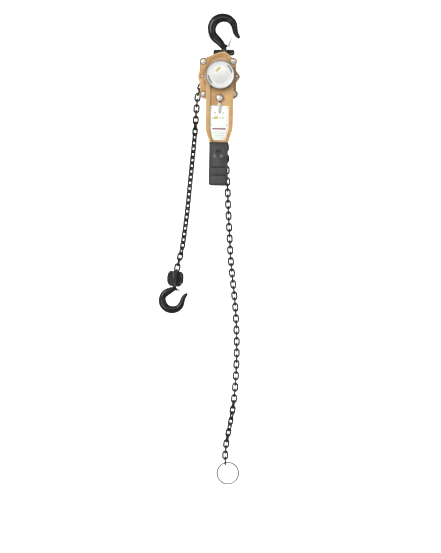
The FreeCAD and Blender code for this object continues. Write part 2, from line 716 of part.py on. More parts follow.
def lever_front_shell():
    """Pressed front: two raised side flanges with a flat channel between them."""
    body = new_body("lever_front_shell", d.shaft_x, 0, d.shaft_z, d.lever_lean)
    half, waist, back = d.lever_half_width, d.lever_waist, d.lever_split - 0.2
    extrude(body, [lever_outline(half, d.lever_shoulder, waist, d.neck_top)], back, d.lever_front)
    extrude(body, [neck_outline(d.neck_half_width)], back, d.grip_front + 5, "neck")
    carve(body, [neck_hollow()], back, d.grip_front + 5 + d.lever_wall, "neck_hollow")
    channel = d.channel_half_width
    carve(body, [[(-channel, 62), (-channel, -waist), (-d.plate_foot_half_width - 0.4, -d.neck_top - 2),
                  (d.plate_foot_half_width + 0.4, -d.neck_top - 2), (channel, -waist), (channel, 62)]],
          d.lever_front, d.channel_floor, "channel")
    inner = lever_outline(half - d.lever_wall, d.lever_shoulder - d.lever_wall - 1, waist - 2,
                          d.neck_top - d.lever_wall)
    carve(body, [inner], back, d.channel_floor + d.wall, "cavity")
    near, far = d.channel_half_width + d.wall, half - d.wall
    flanges = [[(side * near, -16), (side * far, -16), (side * far, -waist + 4), (side * near, -waist + 4)]
               for side in (-1, 1)]
    carve(body, flanges, back, d.lever_front + d.wall, "flange_hollows")
    carve(body, [("circle", 0, 0, 18)], d.lever_front, back, "hub_opening")
    carve(body, [("circle", 0, -d.selector_drop, d.selector_pin_radius + d.running_fit)],
          d.lever_front, back, "selector_bore")
    pads = [("circle", x, z, 7) for x, z in lever_bolt_places()]
    extrude(body, pads, back, d.channel_floor, "bolt_pads")
    carve(body, [("circle", x, z, 3) for x, z in lever_bolt_places()],
          back, d.channel_floor, "bolt_holes")


lever_rear_shell()
lever_front_shell()

body = new_body("lever_bolts", d.shaft_x, 0, d.shaft_z, d.lever_lean)
extrude(body, [("circle", x, z, 3) for x, z in lever_bolt_places()],
        d.lever_back, d.channel_floor + 2, "shanks")
extrude(body, [hexagon(x, z, 10) for x, z in lever_bolt_places()],
        d.lever_back + 3.4, d.lever_back, "heads")


def lever_grip():
    """Moulded rubber grip pushed over the neck of both shells."""
    body = new_body("lever_grip", d.shaft_x, 0, d.shaft_z, d.lever_lean)
    half = d.grip_half_width
    extrude(body, [[(-half, -d.grip_top), (-half, -d.grip_end), (half, -d.grip_end), (half, -d.grip_top)]],
            d.grip_back, d.grip_front)
    round_edges(body, 9, lambda e: runs_along_y(e) and e.CenterOfMass.z < -float(d.grip_end) + 1)
    round_edges(body, 6, lambda e: e.CenterOfMass.y < float(d.grip_front) + 0.5
                or e.CenterOfMass.y > float(d.grip_back) - 0.5)
    gap = 0.2
    carve(body, [[(-d.neck_half_width - gap, -d.grip_top + 1), (-d.neck_half_width - gap, -d.neck_end - 1),
                  (d.neck_half_width + gap, -d.neck_end - 1), (d.neck_half_width + gap, -d.grip_top + 1)]],
          d.grip_front + 4.6, d.grip_back - 4.6, "socket")


lever_grip()

body = new_body("name_plate", d.shaft_x, 0, d.shaft_z, d.lever_lean)
extrude(body, [[(-d.plate_half_width, -d.plate_top), (-d.plate_half_width, -d.plate_waist),
                (-d.plate_foot_half_width, -d.plate_foot), (d.plate_foot_half_width, -d.plate_foot),
                (d.plate_half_width, -d.plate_waist), (d.plate_half_width, -d.plate_top)]],
        d.channel_floor, d.channel_floor - d.plate_sheet)

RIVETS = [(side * across, -drop) for across, drop in ((27, 119), (27, 180), (19, 228)) for side in (-1, 1)]
body = new_body("name_plate_rivets", d.shaft_x, 0, d.shaft_z, d.lever_lean)
extrude(body, [("circle", x, z, 2.2) for x, z in RIVETS],
        d.channel_floor - d.plate_sheet, d.channel_floor - d.plate_sheet - 1.2)

selector_x = d.shaft_x - d.selector_drop * math.sin(math.radians(float(d.lever_lean)))
selector_z = d.shaft_z - d.selector_drop * math.cos(math.radians(float(d.lever_lean)))


def selector_knob():
    """Domed knob with a tapered pointer and a spindle into the housing."""
    body = new_body("selector_knob", selector_x, 0, selector_z, d.lever_lean)
    back = d.channel_floor - 2
    turn(body, [[(0, d.lever_split + 6), (d.selector_pin_radius, d.lever_split + 6),
                 (d.selector_pin_radius, back), (d.knob_radius - 1, back), (d.knob_radius, back - 2),
                 (d.knob_radius - 1, back - 7), (d.knob_radius - 5, back - 11), (0, back - 13)]])
    extrude(body, [[(-4, -9), (-6.5, -d.pointer_length * 0.42), (-4.5, -d.pointer_length + 5),
                    (0, -d.pointer_length), (4.5, -d.pointer_length + 5),
                    (6.5, -d.pointer_length * 0.42), (4, -9)]], back, back - 5, "pointer")


def changeover_pawl():
    """Two-horned pawl on the selector spindle, over the change gear's teeth."""
    body = new_body("changeover_pawl", selector_x, 0, selector_z, d.lever_lean)
    reach = d.changeover_reach * 0.97
    extrude(body, [[(-8, 0), (-13, reach - 6), (-12.5, reach), (-7, reach - 3), (0, reach - 10),
                    (7, reach - 3), (12.5, reach), (13, reach - 6), (8, 0), (4, -8), (-4, -8)],
                   ("circle", 0, 0, d.selector_pin_radius)], d.lever_split + 10, d.lever_split + 4)


selector_knob()
changeover_pawl()


# ---------------------------------------------------------------- hooks

# Centre points at size 1: x, z, half thickness in the hook's plane, half width across it.
TOP_NECK = [(0, -97, 10.5, 10.5), (-6, -84, 12, 11), (-22, -66, 15, 12.5), (-38, -48, 15.5, 13.5)]
BOTTOM_NECK = [(0, -77, 10.5, 10.5), (-9, -67, 12.5, 11.5), (-24, -57, 15, 12.5), (-38, -44, 15.5, 13.5)]
BOW = [
    (-44.1, -27, 15.2, 14), (-31.8, 3.9, 16.8, 14.5), (0, 16, 16, 14.5), (27.5, 3.9, 14.2, 14),
    (39.8, -26.5, 11, 12.5), (44, -42, 9.5, 10.5), (51, -52, 7.5, 9), (56.5, -58.5, 4, 6)]
LATCHES = {1: ((16, -86), (31, -42.5)), -1: ((18.5, -69.5), (30.1, -41.5))}


def hook_solid(scale, upward):
    """Forged hook about its seat; upward is 1 for the top hook, -1 for the bottom one."""
    path = (TOP_NECK if upward > 0 else BOTTOM_NECK) + BOW
    places = [(Vector(x * scale, 0, z * scale * upward), t * scale, w * scale) for x, z, t, w in path]
    wires = []
    for index, (centre, thick, wide) in enumerate(places):
        before, after = places[max(index - 1, 0)][0], places[min(index + 1, len(places) - 1)][0]
        along = (after - before).normalize()
        across = Vector(0, 1, 0).cross(along)
        if index == 0:
            across = Vector(upward, 0, 0)
        ring = []
        for step in range(12):
            angle = 2 * math.pi * step / 12
            ring.append(centre + across * thick * math.cos(angle) + Vector(0, wide * math.sin(angle), 0))
        curve = Part.BSplineCurve()
        curve.interpolate(ring, PeriodicFlag=True)
        wires.append(Part.Wire([curve.toShape()]))
    forging = Part.makeLoft(wires, True, False)
    end = float(d.top_neck if upward > 0 else d.bottom_neck) * scale
    reach, height = float(d.shank_length) * scale, float(d.head_height) * scale
    away = Vector(0, 0, -upward)
    neck = Part.makeCylinder(float(d.shank_radius) * scale, reach + 6, away * (end - 5), away)
    head = Part.makeCylinder(float(d.head_radius) * scale, height, away * (end + reach), away)
    lug = latch_lug(scale, upward)
    return forging.fuse([neck, head, lug])


def latch_lug(scale, upward):
    """Small forged ear beside the neck, bored for the latch pin."""
    px, pz = LATCHES[upward][0][0] * scale, LATCHES[upward][0][1] * scale * upward
    half = 3 * scale
    ear = Part.makeCylinder(6 * scale, 2 * half, Vector(px, -half, pz), Vector(0, 1, 0))
    web = Part.makeBox(px, 2 * half, 11 * scale, Vector(0, -half, pz - 5.5 * scale))
    hole = Part.makeCylinder(float(d.latch_pin_radius), 2 * half + 2,
                             Vector(px, -half - 1, pz), Vector(0, 1, 0))
    return ear.fuse(web).cut(hole)


def latch_solid(scale, upward):
    """Pressed steel latch: a channel that straddles the lug and closes on the nose."""
    sheet_thickness = float(d.latch_sheet)
    (px, pz), (tx, tz) = [(x * scale, z * scale) for x, z in LATCHES[upward]]
    along = Vector(tx - px, 0, tz - pz)
    length = along.Length
    along.normalize()
    normal = Vector(along.z, 0, -along.x)
    pivot = Vector(px, 0, pz)
    half = 8.8 * scale
    eye = float(d.latch_pin_radius) + float(d.running_fit)

    def corner(run, side):
        return pivot + along * run + normal * side

    def plate(points, y_low, y_high):
        wire = Part.makePolygon([p + Vector(0, y_low, 0) for p in points + points[:1]])
        return Part.Face(wire).extrude(Vector(0, y_high - y_low, 0))

    cheek = [corner(-5 * scale, -4 * scale), corner(-5 * scale, 5 * scale), corner(10 * scale, 5 * scale),
             corner(length * 0.8, 4.2 * scale), corner(length, 2 * sheet_thickness),
             corner(length, 2), corner(8 * scale, -4 * scale)]
    back = [corner(9 * scale, 5 * scale - sheet_thickness), corner(9 * scale, 5 * scale),
            corner(length * 0.8, 4.2 * scale), corner(length, 3.2), corner(length, 1.6),
            corner(length * 0.8, 4.2 * scale - sheet_thickness)]
    cheeks = [plate(cheek, -half, -half + sheet_thickness), plate(cheek, half - sheet_thickness, half)]
    solid = cheeks[0].fuse([cheeks[1], plate(back, -half, half)])
    solid = solid.cut(Part.makeCylinder(eye, 3 * half, pivot - Vector(0, 1.5 * half, 0), Vector(0, 1, 0)))
    if upward < 0:
        solid = solid.mirror(Vector(0, 0, 0), Vector(0, 0, 1))
    return solid


def latch_pivot(scale, upward):
    x, z = LATCHES[upward][0]
    return Vector(x * scale, 0, z * scale * upward)


def latch_pin_solid(scale, upward):
    half = 10 * scale
    centre = latch_pivot(scale, upward) - Vector(0, half, 0)
    return Part.makeCylinder(float(d.latch_pin_radius), 2 * half, centre, Vector(0, 1, 0))


def latch_spring_solid(scale, upward):
    """Envelope of the torsion spring's coils, on the pin beside the lug."""
    start, end = 3.3 * scale, 6.9 * scale
    centre = latch_pivot(scale, upward) + Vector(0, start, 0)
    outer = Part.makeCylinder(float(d.latch_pin_radius) + 1.5, end - start, centre, Vector(0, 1, 0))
    inner = Part.makeCylinder(float(d.latch_pin_radius) + 0.3, end - start, centre, Vector(0, 1, 0))
    return outer.cut(inner)


def hook_set(prefix, scale, upward, place):
    shaped(prefix + "_hook", hook_solid(scale, upward), place)
    shaped(prefix + "_latch", latch_solid(scale, upward), place)
    shaped(prefix + "_latch_pin", latch_pin_solid(scale, upward), place)
    shaped(prefix + "_latch_spring", latch_spring_solid(scale, upward), place)


hook_set("top", 1.0, 1, FreeCAD.Placement())


# ---------------------------------------------------------------- top yoke

def top_yoke(name, side):
    """Half of the split yoke that carries the hook's head; side is -1 front, 1 rear."""
    body = new_body(name)
    half, top, foot = d.yoke_half_length, d.yoke_top, d.yoke_foot
    tongue, low = d.tongue_half_width, d.tongue_foot
    outline = [(-half + 4, top), (half - 4, top), (half, top - 6), (half, foot + 4), (half - 5, foot),
               (tongue, foot), (tongue, low + 5), (tongue - 5, low), (-tongue + 1, low),
               (-tongue, low + 1), (-tongue, foot), (-half + 5, foot), (-half, foot + 4), (-half, top - 6)]
    seam, face = Size(0.1) * side, d.yoke_half_depth * side
    back, front = (seam, face) if side < 0 else (face, seam)
    holes = [("circle", 0, d.top_pin_z, d.top_pin_radius + d.running_fit)]
    holes += [("circle", x, top - 10, 3.5) for x in (-half + 9, half - 9)]
    extrude(body, [outline] + holes, back, front)
    clearance = 0.3
    groove = body.newObject("PartDesign::Groove", name + "_hook_seat")
    shank, head = d.shank_radius + clearance, d.head_radius + clearance
    head_top = -d.top_neck - d.shank_length
    head_foot = head_top - d.head_height
    profile = [(0, top + 1), (shank, top + 1), (shank, head_top + clearance),
               (head, head_top + clearance), (head, head_foot - clearance), (0, head_foot - clearance)]
    groove.Profile = sketch_on(body, name + "_seat_outline", "XZ_Plane", [profile])
    groove.ReferenceAxis = (groove.Profile[0], ["V_Axis"])
    groove.Angle = 360


top_yoke("top_yoke_front", -1)
top_yoke("top_yoke_rear", 1)

YOKE_RIVETS = [(x, d.yoke_top - 10) for x in (-d.yoke_half_length + 9, d.yoke_half_length - 9)]
body = new_body("top_yoke_rivets")
extrude(body, [("circle", x, z, 3.5) for x, z in YOKE_RIVETS], d.yoke_half_depth, -d.yoke_half_depth)

body = new_body("top_pin", 0, 0, d.top_pin_z)
extrude(body, [("circle", 0, 0, d.top_pin_radius)], plate_outer, -plate_outer)


# ---------------------------------------------------------------- chain

INNER = float(d.link_length)
WIRE = float(d.wire)
GAP = float(d.link_gap)
LONG_STEP = INNER + WIRE
SHORT_STEP = INNER - WIRE - 2 * GAP


def chain_radius():
    """Radius of the link pivots on the sheave, five long and five short steps a turn."""
    half_turn = math.radians(36)
    a, b = LONG_STEP / 2, SHORT_STEP / 2
    half_long = math.atan2(a * math.sin(half_turn), b + a * math.cos(half_turn))
    return a / math.sin(half_long), math.degrees(half_long)


WRAP_RADIUS, HALF_LONG = chain_radius()
HALF_SHORT = 36 - HALF_LONG


def wrap_pivot(degrees):
    x, z = polar(WRAP_RADIUS, degrees)
    return Vector(float(d.shaft_x) + x, 0, float(d.shaft_z) + z)


def strand_pivots(start, route, first_is_long, count):
    """Link pivots down a route, at alternate long and short steps."""
    curve = Part.BSplineCurve()
    curve.interpolate([start] + [Vector(x, 0, z) for x, z in route])
    pivots, travelled, is_long = [start], 0.0, first_is_long
    for link in range(count):
        travelled += LONG_STEP if is_long else SHORT_STEP
        pivots.append(curve.value(curve.parameterAtDistance(travelled, curve.FirstParameter)))
        is_long = not is_long
    return pivots


def link_solid(upper, lower, is_long, twist):
    """One chain link between two pivots; long-step links lie across the Y direction."""
    centre = (upper + lower) * 0.5
    along = (upper - lower).normalize()
    across = Vector(0, 1, 0) if is_long else Vector(0, 1, 0).cross(along)
    across = FreeCAD.Rotation(along, twist).multVec(across)
    bend = (float(d.link_width) + WIRE) / 2
    straight = (INNER - float(d.link_width)) / 2
    side = across * bend
    top, bottom = centre + along * straight, centre - along * straight
    path = Part.Wire([Part.makeLine(bottom + side, top + side),
                      Part.Arc(top + side, top + along * bend, top - side).toShape(),
                      Part.makeLine(top - side, bottom - side),
                      Part.Arc(bottom - side, bottom - along * bend, bottom + side).toShape()])
    profile = Part.Wire([Part.Circle(bottom + side, along, WIRE / 2).toShape()])
    return path.makePipeShell([profile], True, False)


LOAD_ROUTE = [(-66, -205), (-84, -233), (-93.5, -262), (-98, -300), (-101.5, -350), (-104.5, -400),
              (-111, -470), (-118, -540), (-125, -610), (-132, -680), (-141, -750), (-151, -815),
              (-166, -875), (-178, -930), (-187, -975)]
SLACK_ROUTE = [(16.5, -235), (14.5, -268), (9.5, -310), (6.5, -380), (7, -460), (10, -540),
               (13, -604), (16.2, -691), (20.2, -777), (25.2, -864), (33.8, -950), (41.5, -1036),
               (45.5, -1123), (45.5, -1209),
               (41.4, -1296), (33, -1382), (18, -1468), (7, -1526), (4.5, -1570), (6, -1605), (9, -1640)]


def blend(z, high, low):
    """0 above z = high, 1 below z = low, straight in between."""
    return min(1.0, max(0.0, (high - z) / (high - low)))


def load_twist(z):
    return 45 * (blend(z, -320, -430) - blend(z, -800, -885))


def slack_twist(z):
    return 40 * (blend(z, -1340, -1440) - blend(z, -1450, -1540))


def strand_links(pivots, first_is_long, twist):
    links, is_long = [], first_is_long
    for upper, lower in zip(pivots, pivots[1:]):
        links.append((upper, lower, is_long, twist((upper.z + lower.z) / 2)))
        is_long = not is_long
    return links


left_start = wrap_pivot(90 + HALF_LONG + 2 * HALF_SHORT)
right_start = wrap_pivot(90 - HALF_LONG - 2 * HALF_SHORT - 2 * HALF_LONG)
load_pivots = strand_pivots(left_start, LOAD_ROUTE, True, int(float(d.load_links)))
slack_pivots = strand_pivots(right_start, SLACK_ROUTE, False, int(float(d.slack_links)))
load_links = strand_links(load_pivots, True, load_twist)
slack_links = strand_links(slack_pivots, False, slack_twist)
wrap_angles = [90 + HALF_LONG + 2 * HALF_SHORT, 90 + HALF_LONG, 90 - HALF_LONG,
               90 - HALF_LONG - 2 * HALF_SHORT, 90 - 3 * HALF_LONG - 2 * HALF_SHORT]
wrap_links = []
for index, (high, low) in enumerate(zip(wrap_angles, wrap_angles[1:])):
    wrap_links.append((wrap_pivot(high), wrap_pivot(low), index % 2 == 1, 0.0))


def split_at(links, z, long_step=True):
    """Index of the first link of the wanted kind whose upper pivot is below z."""
    for index, (upper, lower, is_long, twist) in enumerate(links):
        if is_long == long_step and upper.z < z:
            return index
    return len(links)


def chain_node(name, links):
    shaped(name, Part.makeCompound([link_solid(*link) for link in links]))


load_cuts = [split_at(load_links, -250), split_at(load_links, -560)]
slack_cuts = [split_at(slack_links, -235), split_at(slack_links, -680, False), split_at(slack_links, -1130)]
chain_node("chain_over_sheave", wrap_links + load_links[:load_cuts[0]] + slack_links[:slack_cuts[0]])
chain_node("load_chain_upper", load_links[load_cuts[0]:load_cuts[1]])
chain_node("load_chain_lower", load_links[load_cuts[1]:])
chain_node("slack_chain_upper", slack_links[slack_cuts[0]:slack_cuts[1]])
chain_node("slack_chain_middle", slack_links[slack_cuts[1]:slack_cuts[2]])
chain_node("slack_chain_lower", slack_links[slack_cuts[2]:])


def say(name, place, axis=Vector(0, 1, 0)):
    """Print a joint's place and axis, which the draft record repeats."""
    print("JOINT", name, *[round(v, 4) for v in place], *[round(v, 5) for v in axis])


def say_link_hinge(name, link):
    """A strand hinges on the upper wire of its first link."""
    upper, lower, is_long, twist = link
    along = (upper - lower).normalize()
    across = Vector(0, 1, 0) if is_long else Vector(0, 1, 0).cross(along)
    wire_centre = upper if is_long else upper + along * (WIRE + GAP)
    say(name, wire_centre, FreeCAD.Rotation(along, twist).multVec(across))


say_link_hinge("load_upper", load_links[load_cuts[0]])
say_link_hinge("load_lower", load_links[load_cuts[1]])
say_link_hinge("slack_upper", slack_links[slack_cuts[0]])
say_link_hinge("slack_middle", slack_links[slack_cuts[1]])
say_link_hinge("slack_lower", slack_links[slack_cuts[2]])


# ---------------------------------------------------------------- chain end ring

last_upper, last_lower, last_long, last_twist = slack_links[-1]
ring_side = Vector(-0.225, 0, 0.974)
wire_gap = WIRE / 2 + float(d.ring_wire) / 2 + GAP
last_along = (last_upper - last_lower).normalize()
if not last_long:
    raise ValueError("the slack strand has to end with a link across Y")
ring_hold = last_lower + last_along * wire_gap
ring_centre = ring_hold - ring_side * float(d.ring_radius)
ring_torus = Part.makeTorus(float(d.ring_radius), float(d.ring_wire) / 2, ring_centre, Vector(0, 1, 0))
shaped("chain_end_ring", ring_torus)
say("ring", last_lower)
say("ring_centre", ring_centre)


# ---------------------------------------------------------------- bottom block and hook

end_upper, end_lower, end_long, end_twist = load_links[-1]
end_along = (end_upper - end_lower).normalize()
if not end_long:
    raise ValueError("the load strand has to end with a link across Y")
block_origin = end_lower + end_along * (WIRE / 2 + float(d.chain_pin_radius) + float(d.chain_slack))
block_turn = FreeCAD.Rotation(Vector(0, 1, 0), float(d.block_lean))
block_place = FreeCAD.Placement(block_origin, block_turn)


def block_body(name):
    """A body in the block's leaning frame, whose origin is the chain pin's middle."""
    body = doc.addObject("PartDesign::Body", name)
    body.Label = name
    body.AllowCompound = True
    body.Placement = block_place
    NODES.append(body)
    return body


hook_scale = float(d.bottom_hook_size)
block_foot = float(d.block_rise) - float(d.block_height)
hook_seat_drop = block_foot - float(d.neck_gap) - float(d.bottom_neck) * hook_scale
head_level = block_foot - float(d.neck_gap) + float(d.shank_length) * hook_scale


BLOCK_BOLTS = [(13, -24), (-13, -24)]


def block_half(name, side):
    """Left or right casting, split on the plane through chain and hook shank."""
    body = block_body(name)
    half, top = d.block_half_width, d.block_rise
    foot = top - d.block_height
    outline = [(side * 0.1, top), (side * (half - 9), top), (side * (half - 2), top - 9),
               (side * half, top - 24), (side * (half - 1), foot + 18), (side * (half - 8), foot + 5),
               (side * (half - 14), foot), (side * 0.1, foot)]
    extrude(body, [outline], d.block_half_depth, -d.block_half_depth)
    slot = WIRE / 2 + d.chain_slot_play
    floor = -d.chain_pin_radius - d.chain_slack - WIRE - 1
    reach = d.relief_half_width
    carve(body, [[(side * 0.05, top + 1), (side * slot, top + 1), (side * slot, floor),
                  (side * 0.05, floor)]], -d.chain_slot_half_depth, d.chain_slot_half_depth, "chain_slot")
    carve(body, [[(side * 0.05, top + 1), (side * reach, top + 1), (side * reach, 5), (side * 0.05, 5)]],
          -d.relief_half_depth, d.relief_half_depth, "link_relief")
    for y, z in BLOCK_BOLTS:
        notch = "bolt_notch_front" if y < 0 else "bolt_notch_rear"
        low, high = z - d.bolt_notch_half, z + d.bolt_notch_half
        carve(body, [[(side * (half - d.bolt_sink), low), (side * (half + 1), low),
                      (side * (half + 1), high), (side * (half - d.bolt_sink), high)]],
              y - d.bolt_notch_half, y + d.bolt_notch_half, notch)
    groove = body.newObject("PartDesign::Groove", name + "_hook_seat")
    shank, head = d.shank_radius * hook_scale + 0.3, d.head_radius * hook_scale + 0.3
    high = head_level + 0.3 + float(d.head_height) * hook_scale
    profile = [(0, foot - 1), (shank, foot - 1), (shank, head_level - 0.3),
               (head, head_level - 0.3), (head, high), (0, high)]
    groove.Profile = sketch_on(body, name + "_seat_outline", "XZ_Plane", [profile])
    groove.ReferenceAxis = (groove.Profile[0], ["V_Axis"])
    groove.Angle = 360
    doc.recompute()
    drill(body, name, [(0, 0, d.chain_pin_radius)] + [(y, z, d.block_bolt_radius) for y, z in BLOCK_BOLTS])


def drill(body, name, holes):
    """Cross holes along X through one half of the block."""
    sketch = sketch_on(body, name + "_cross_holes", "YZ_Plane",
                       [("circle", y, z, radius) for y, z, radius in holes])
    pocket = body.newObject("PartDesign::Pocket", name + "_drilling")
    pocket.Profile = sketch
    pocket.Type = "ThroughAll"
    pocket.Midplane = True


block_half("bottom_block_left", -1)
block_half("bottom_block_right", 1)


def cross_rods(name, rods):
    """Round rods along X in the block's frame: (y, z, radius, from x, to x)."""
    solids = []
    for y, z, radius, low, high in rods:
        solids.append(Part.makeCylinder(radius, high - low, Vector(low, y, z), Vector(1, 0, 0)))
    shaped(name, Part.makeCompound(solids), block_place)


def hex_bar(y, z, width, low, high):
    reach = width / math.sqrt(3)
    turns = [math.radians(60 * k) for k in range(7)]
    corners = [Vector(low, y + reach * math.cos(turn), z + reach * math.sin(turn)) for turn in turns]
    return Part.Face(Part.makePolygon(corners)).extrude(Vector(high - low, 0, 0))


BLOCK_SIDE = float(d.block_half_width)
BOLT = float(d.block_bolt_radius)
cross_rods("bottom_chain_pin", [(0, 0, float(d.chain_pin_radius), -BLOCK_SIDE + 5, BLOCK_SIDE - 5)])
bolts, nuts = [], []
SEAT = BLOCK_SIDE - float(d.bolt_sink)
for y, z in BLOCK_BOLTS:
    shank = Part.makeCylinder(BOLT, 2 * SEAT + 6, Vector(-SEAT, y, z), Vector(1, 0, 0))
    bolts.append(shank.fuse(hex_bar(y, z, 12, -SEAT - 4.5, -SEAT)))
    hole = Part.makeCylinder(BOLT, 8, Vector(SEAT - 1, y, z), Vector(1, 0, 0))
    nuts.append(hex_bar(y, z, 13, SEAT, SEAT + 5).cut(hole))
shaped("bottom_block_bolts", Part.makeCompound(bolts), block_place)
shaped("bottom_block_nuts", Part.makeCompound(nuts), block_place)

seat_offset = FreeCAD.Placement(Vector(0, 0, hook_seat_drop), FreeCAD.Rotation())
bottom_place = block_place.multiply(seat_offset)
hook_set("bottom", hook_scale, -1, bottom_place)
say("block", block_origin, block_turn.multVec(Vector(1, 0, 0)))
say("bottom_swivel", bottom_place.Base, block_turn.multVec(Vector(0, 0, 1)))
say("bottom_latch", bottom_place.multVec(latch_pivot(hook_scale, -1)))
say("top_latch", latch_pivot(1, 1))
say("selector", Vector(float(selector_x), 0, float(selector_z)))
for side, angle in zip(("upper", "lower"), pawl_pivot_angles()):
    pivot_x, pivot_z = polar(float(d.pawl_pivot_radius), angle)
    say("pawl_" + side, Vector(float(d.shaft_x) + pivot_x, 0, float(d.shaft_z) + pivot_z))
for side, (x, z) in IDLERS.items():
    say("idler_" + side, Vector(float(d.shaft_x) + float(x), 0, float(d.shaft_z) + float(z)))


# ---------------------------------------------------------------- checks and export

doc.recompute()
for thing in doc.Objects:
    if {"Invalid", "Error"} & set(thing.State):
        raise ValueError("%s: %s" % (thing.Name, thing.State))
for node in NODES:
    if node.Shape.isNull() or not node.Shape.isValid():
        raise ValueError("%s has no valid shape" % node.Label)

os.makedirs("parts", exist_ok=True)
for node in NODES:
    node.Shape.exportStep("parts/%s.step" % node.Label)
    print("%-22s solids %3d volume %9.0f" % (node.Label, len(node.Shape.Solids), node.Shape.Volume))
print(len(NODES), "nodes")
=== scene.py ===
import json
import math

import bpy
from mathutils import Matrix, Vector


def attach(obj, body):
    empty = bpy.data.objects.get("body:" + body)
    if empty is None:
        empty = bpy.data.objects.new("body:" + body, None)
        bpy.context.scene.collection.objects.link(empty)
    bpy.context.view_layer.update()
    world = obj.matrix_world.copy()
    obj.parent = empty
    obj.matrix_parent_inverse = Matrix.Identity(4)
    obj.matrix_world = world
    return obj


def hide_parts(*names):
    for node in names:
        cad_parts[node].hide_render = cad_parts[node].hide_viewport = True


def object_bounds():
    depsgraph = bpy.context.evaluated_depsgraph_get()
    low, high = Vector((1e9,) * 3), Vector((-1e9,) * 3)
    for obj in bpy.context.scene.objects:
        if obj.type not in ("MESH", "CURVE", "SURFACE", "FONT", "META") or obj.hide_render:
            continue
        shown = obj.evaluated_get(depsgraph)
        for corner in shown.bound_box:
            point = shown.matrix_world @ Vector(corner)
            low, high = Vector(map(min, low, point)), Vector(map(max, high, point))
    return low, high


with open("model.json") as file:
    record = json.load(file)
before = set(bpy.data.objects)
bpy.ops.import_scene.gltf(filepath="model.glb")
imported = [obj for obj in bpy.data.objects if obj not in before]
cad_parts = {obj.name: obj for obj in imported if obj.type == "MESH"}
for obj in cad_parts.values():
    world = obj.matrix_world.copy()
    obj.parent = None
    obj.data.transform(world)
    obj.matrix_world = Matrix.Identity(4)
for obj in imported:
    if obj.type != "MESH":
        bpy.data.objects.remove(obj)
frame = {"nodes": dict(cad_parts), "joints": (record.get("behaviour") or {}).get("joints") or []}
cad_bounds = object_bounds()


# Stage: a pale floor that curves up into a wall far behind, lit by two tall lamps of its
# own, and soft lamps round the hoist. The camera stands far in front, level with the
# middle of the chain.
MM = 0.001
STAGE_PALE = (0.93, 0.93, 0.925, 1.0)
CAMERA_PLACE = (-0.0125, -16.0, -0.916)
CAMERA_LENS = 289.3


class Shade:
    """One socket of a node tree, so that finishes read as sums and products."""

    def __init__(self, tree, socket=None):
        self.tree = tree
        self.socket = socket

    def node(self, kind, sockets=None, output=0, **settings):
        made = self.tree.nodes.new(kind)
        for name, value in settings.items():
            setattr(made, name, value)
        for name, value in (sockets or {}).items():
            if isinstance(value, Shade):
                self.tree.links.new(value.socket, made.inputs[name])
            else:
                made.inputs[name].default_value = value
        return Shade(self.tree, made.outputs[output])

    def __add__(self, other):
        return self.node("ShaderNodeMath", {0: self, 1: other}, operation="ADD")

    def __sub__(self, other):
        return self.node("ShaderNodeMath", {0: self, 1: other}, operation="SUBTRACT")

    def __rsub__(self, other):
        return self.node("ShaderNodeMath", {0: other, 1: self}, operation="SUBTRACT")

    def __mul__(self, other):
        return self.node("ShaderNodeMath", {0: self, 1: other}, operation="MULTIPLY")

    __radd__ = __add__
    __rmul__ = __mul__


def noise(place, scale, detail=3.0, rough=0.55):
    return place.node("ShaderNodeTexNoise", {"Vector": place, "Scale": scale, "Detail": detail,
                                             "Roughness": rough})


def stretch(value, low, high):
    """0 where the value is low, 1 where it is high, and limited to that."""
    return value.node("ShaderNodeMapRange", {"Value": value, "From Min": low, "From Max": high})


def blend(factor, low, high):
    """A colour between two colours."""
    return factor.node("ShaderNodeMix", {0: factor, 6: low, 7: high}, 2, data_type="RGBA")


class Finish:
    """A principled material; uniform inputs are given by name, varying ones are fed."""

    def __init__(self, name, **uniform):
        self.material = bpy.data.materials.new(name)
        self.material.use_nodes = True
        self.tree = self.material.node_tree
        self.surface = self.tree.nodes["Principled BSDF"]
        for socket, value in uniform.items():
            self.surface.inputs[socket.replace("_", " ")].default_value = value
        self.place = Shade(self.tree).node("ShaderNodeTexCoord", output=3)

    def feed(self, socket, value):
        self.tree.links.new(value.socket, self.surface.inputs[socket])

    def bump(self, height, strength, distance):
        self.feed("Normal", self.place.node("ShaderNodeBump", {
            "Height": height, "Strength": strength, "Distance": distance * MM}))


def stage_finish():
    finish = Finish("stage_pale", Base_Color=STAGE_PALE)
    finish.feed("Roughness", 0.85 + noise(finish.place, 3.0) * 0.1)
    return finish.material


def curved_stage(front, back, radius, low, high):
    """A floor from front to back that turns up into a wall."""
    bpy.ops.object.select_all(action="DESELECT")
    bpy.ops.mesh.primitive_plane_add(size=1, location=(0, 0, low))
    floor = bpy.context.object
    floor.name = "floor"
    bpy.ops.transform.resize(value=(24, back - radius - front, 1))
    bpy.ops.transform.translate(value=(0, (back - radius + front) / 2, 0))
    bpy.ops.object.transform_apply()
    bpy.ops.object.mode_set(mode="EDIT")
    bpy.ops.mesh.select_all(action="DESELECT")
    bpy.ops.object.mode_set(mode="OBJECT")
    for vertex in floor.data.vertices:
        vertex.select = vertex.co.y > 0
    bpy.ops.object.mode_set(mode="EDIT")
    bpy.ops.mesh.select_mode(type="EDGE")
    steps = 10
    for step in range(steps):
        slope = math.radians(90 * (step + 0.5) / steps)
        run = radius * math.radians(90) / steps
        bpy.ops.mesh.extrude_region_move(
            TRANSFORM_OT_translate={"value": (0, run * math.cos(slope), run * math.sin(slope))})
    bpy.ops.mesh.extrude_region_move(TRANSFORM_OT_translate={"value": (0, 0, high)})
    bpy.ops.object.mode_set(mode="OBJECT")
    bpy.ops.object.shade_smooth()
    floor.data.materials.append(stage_finish())


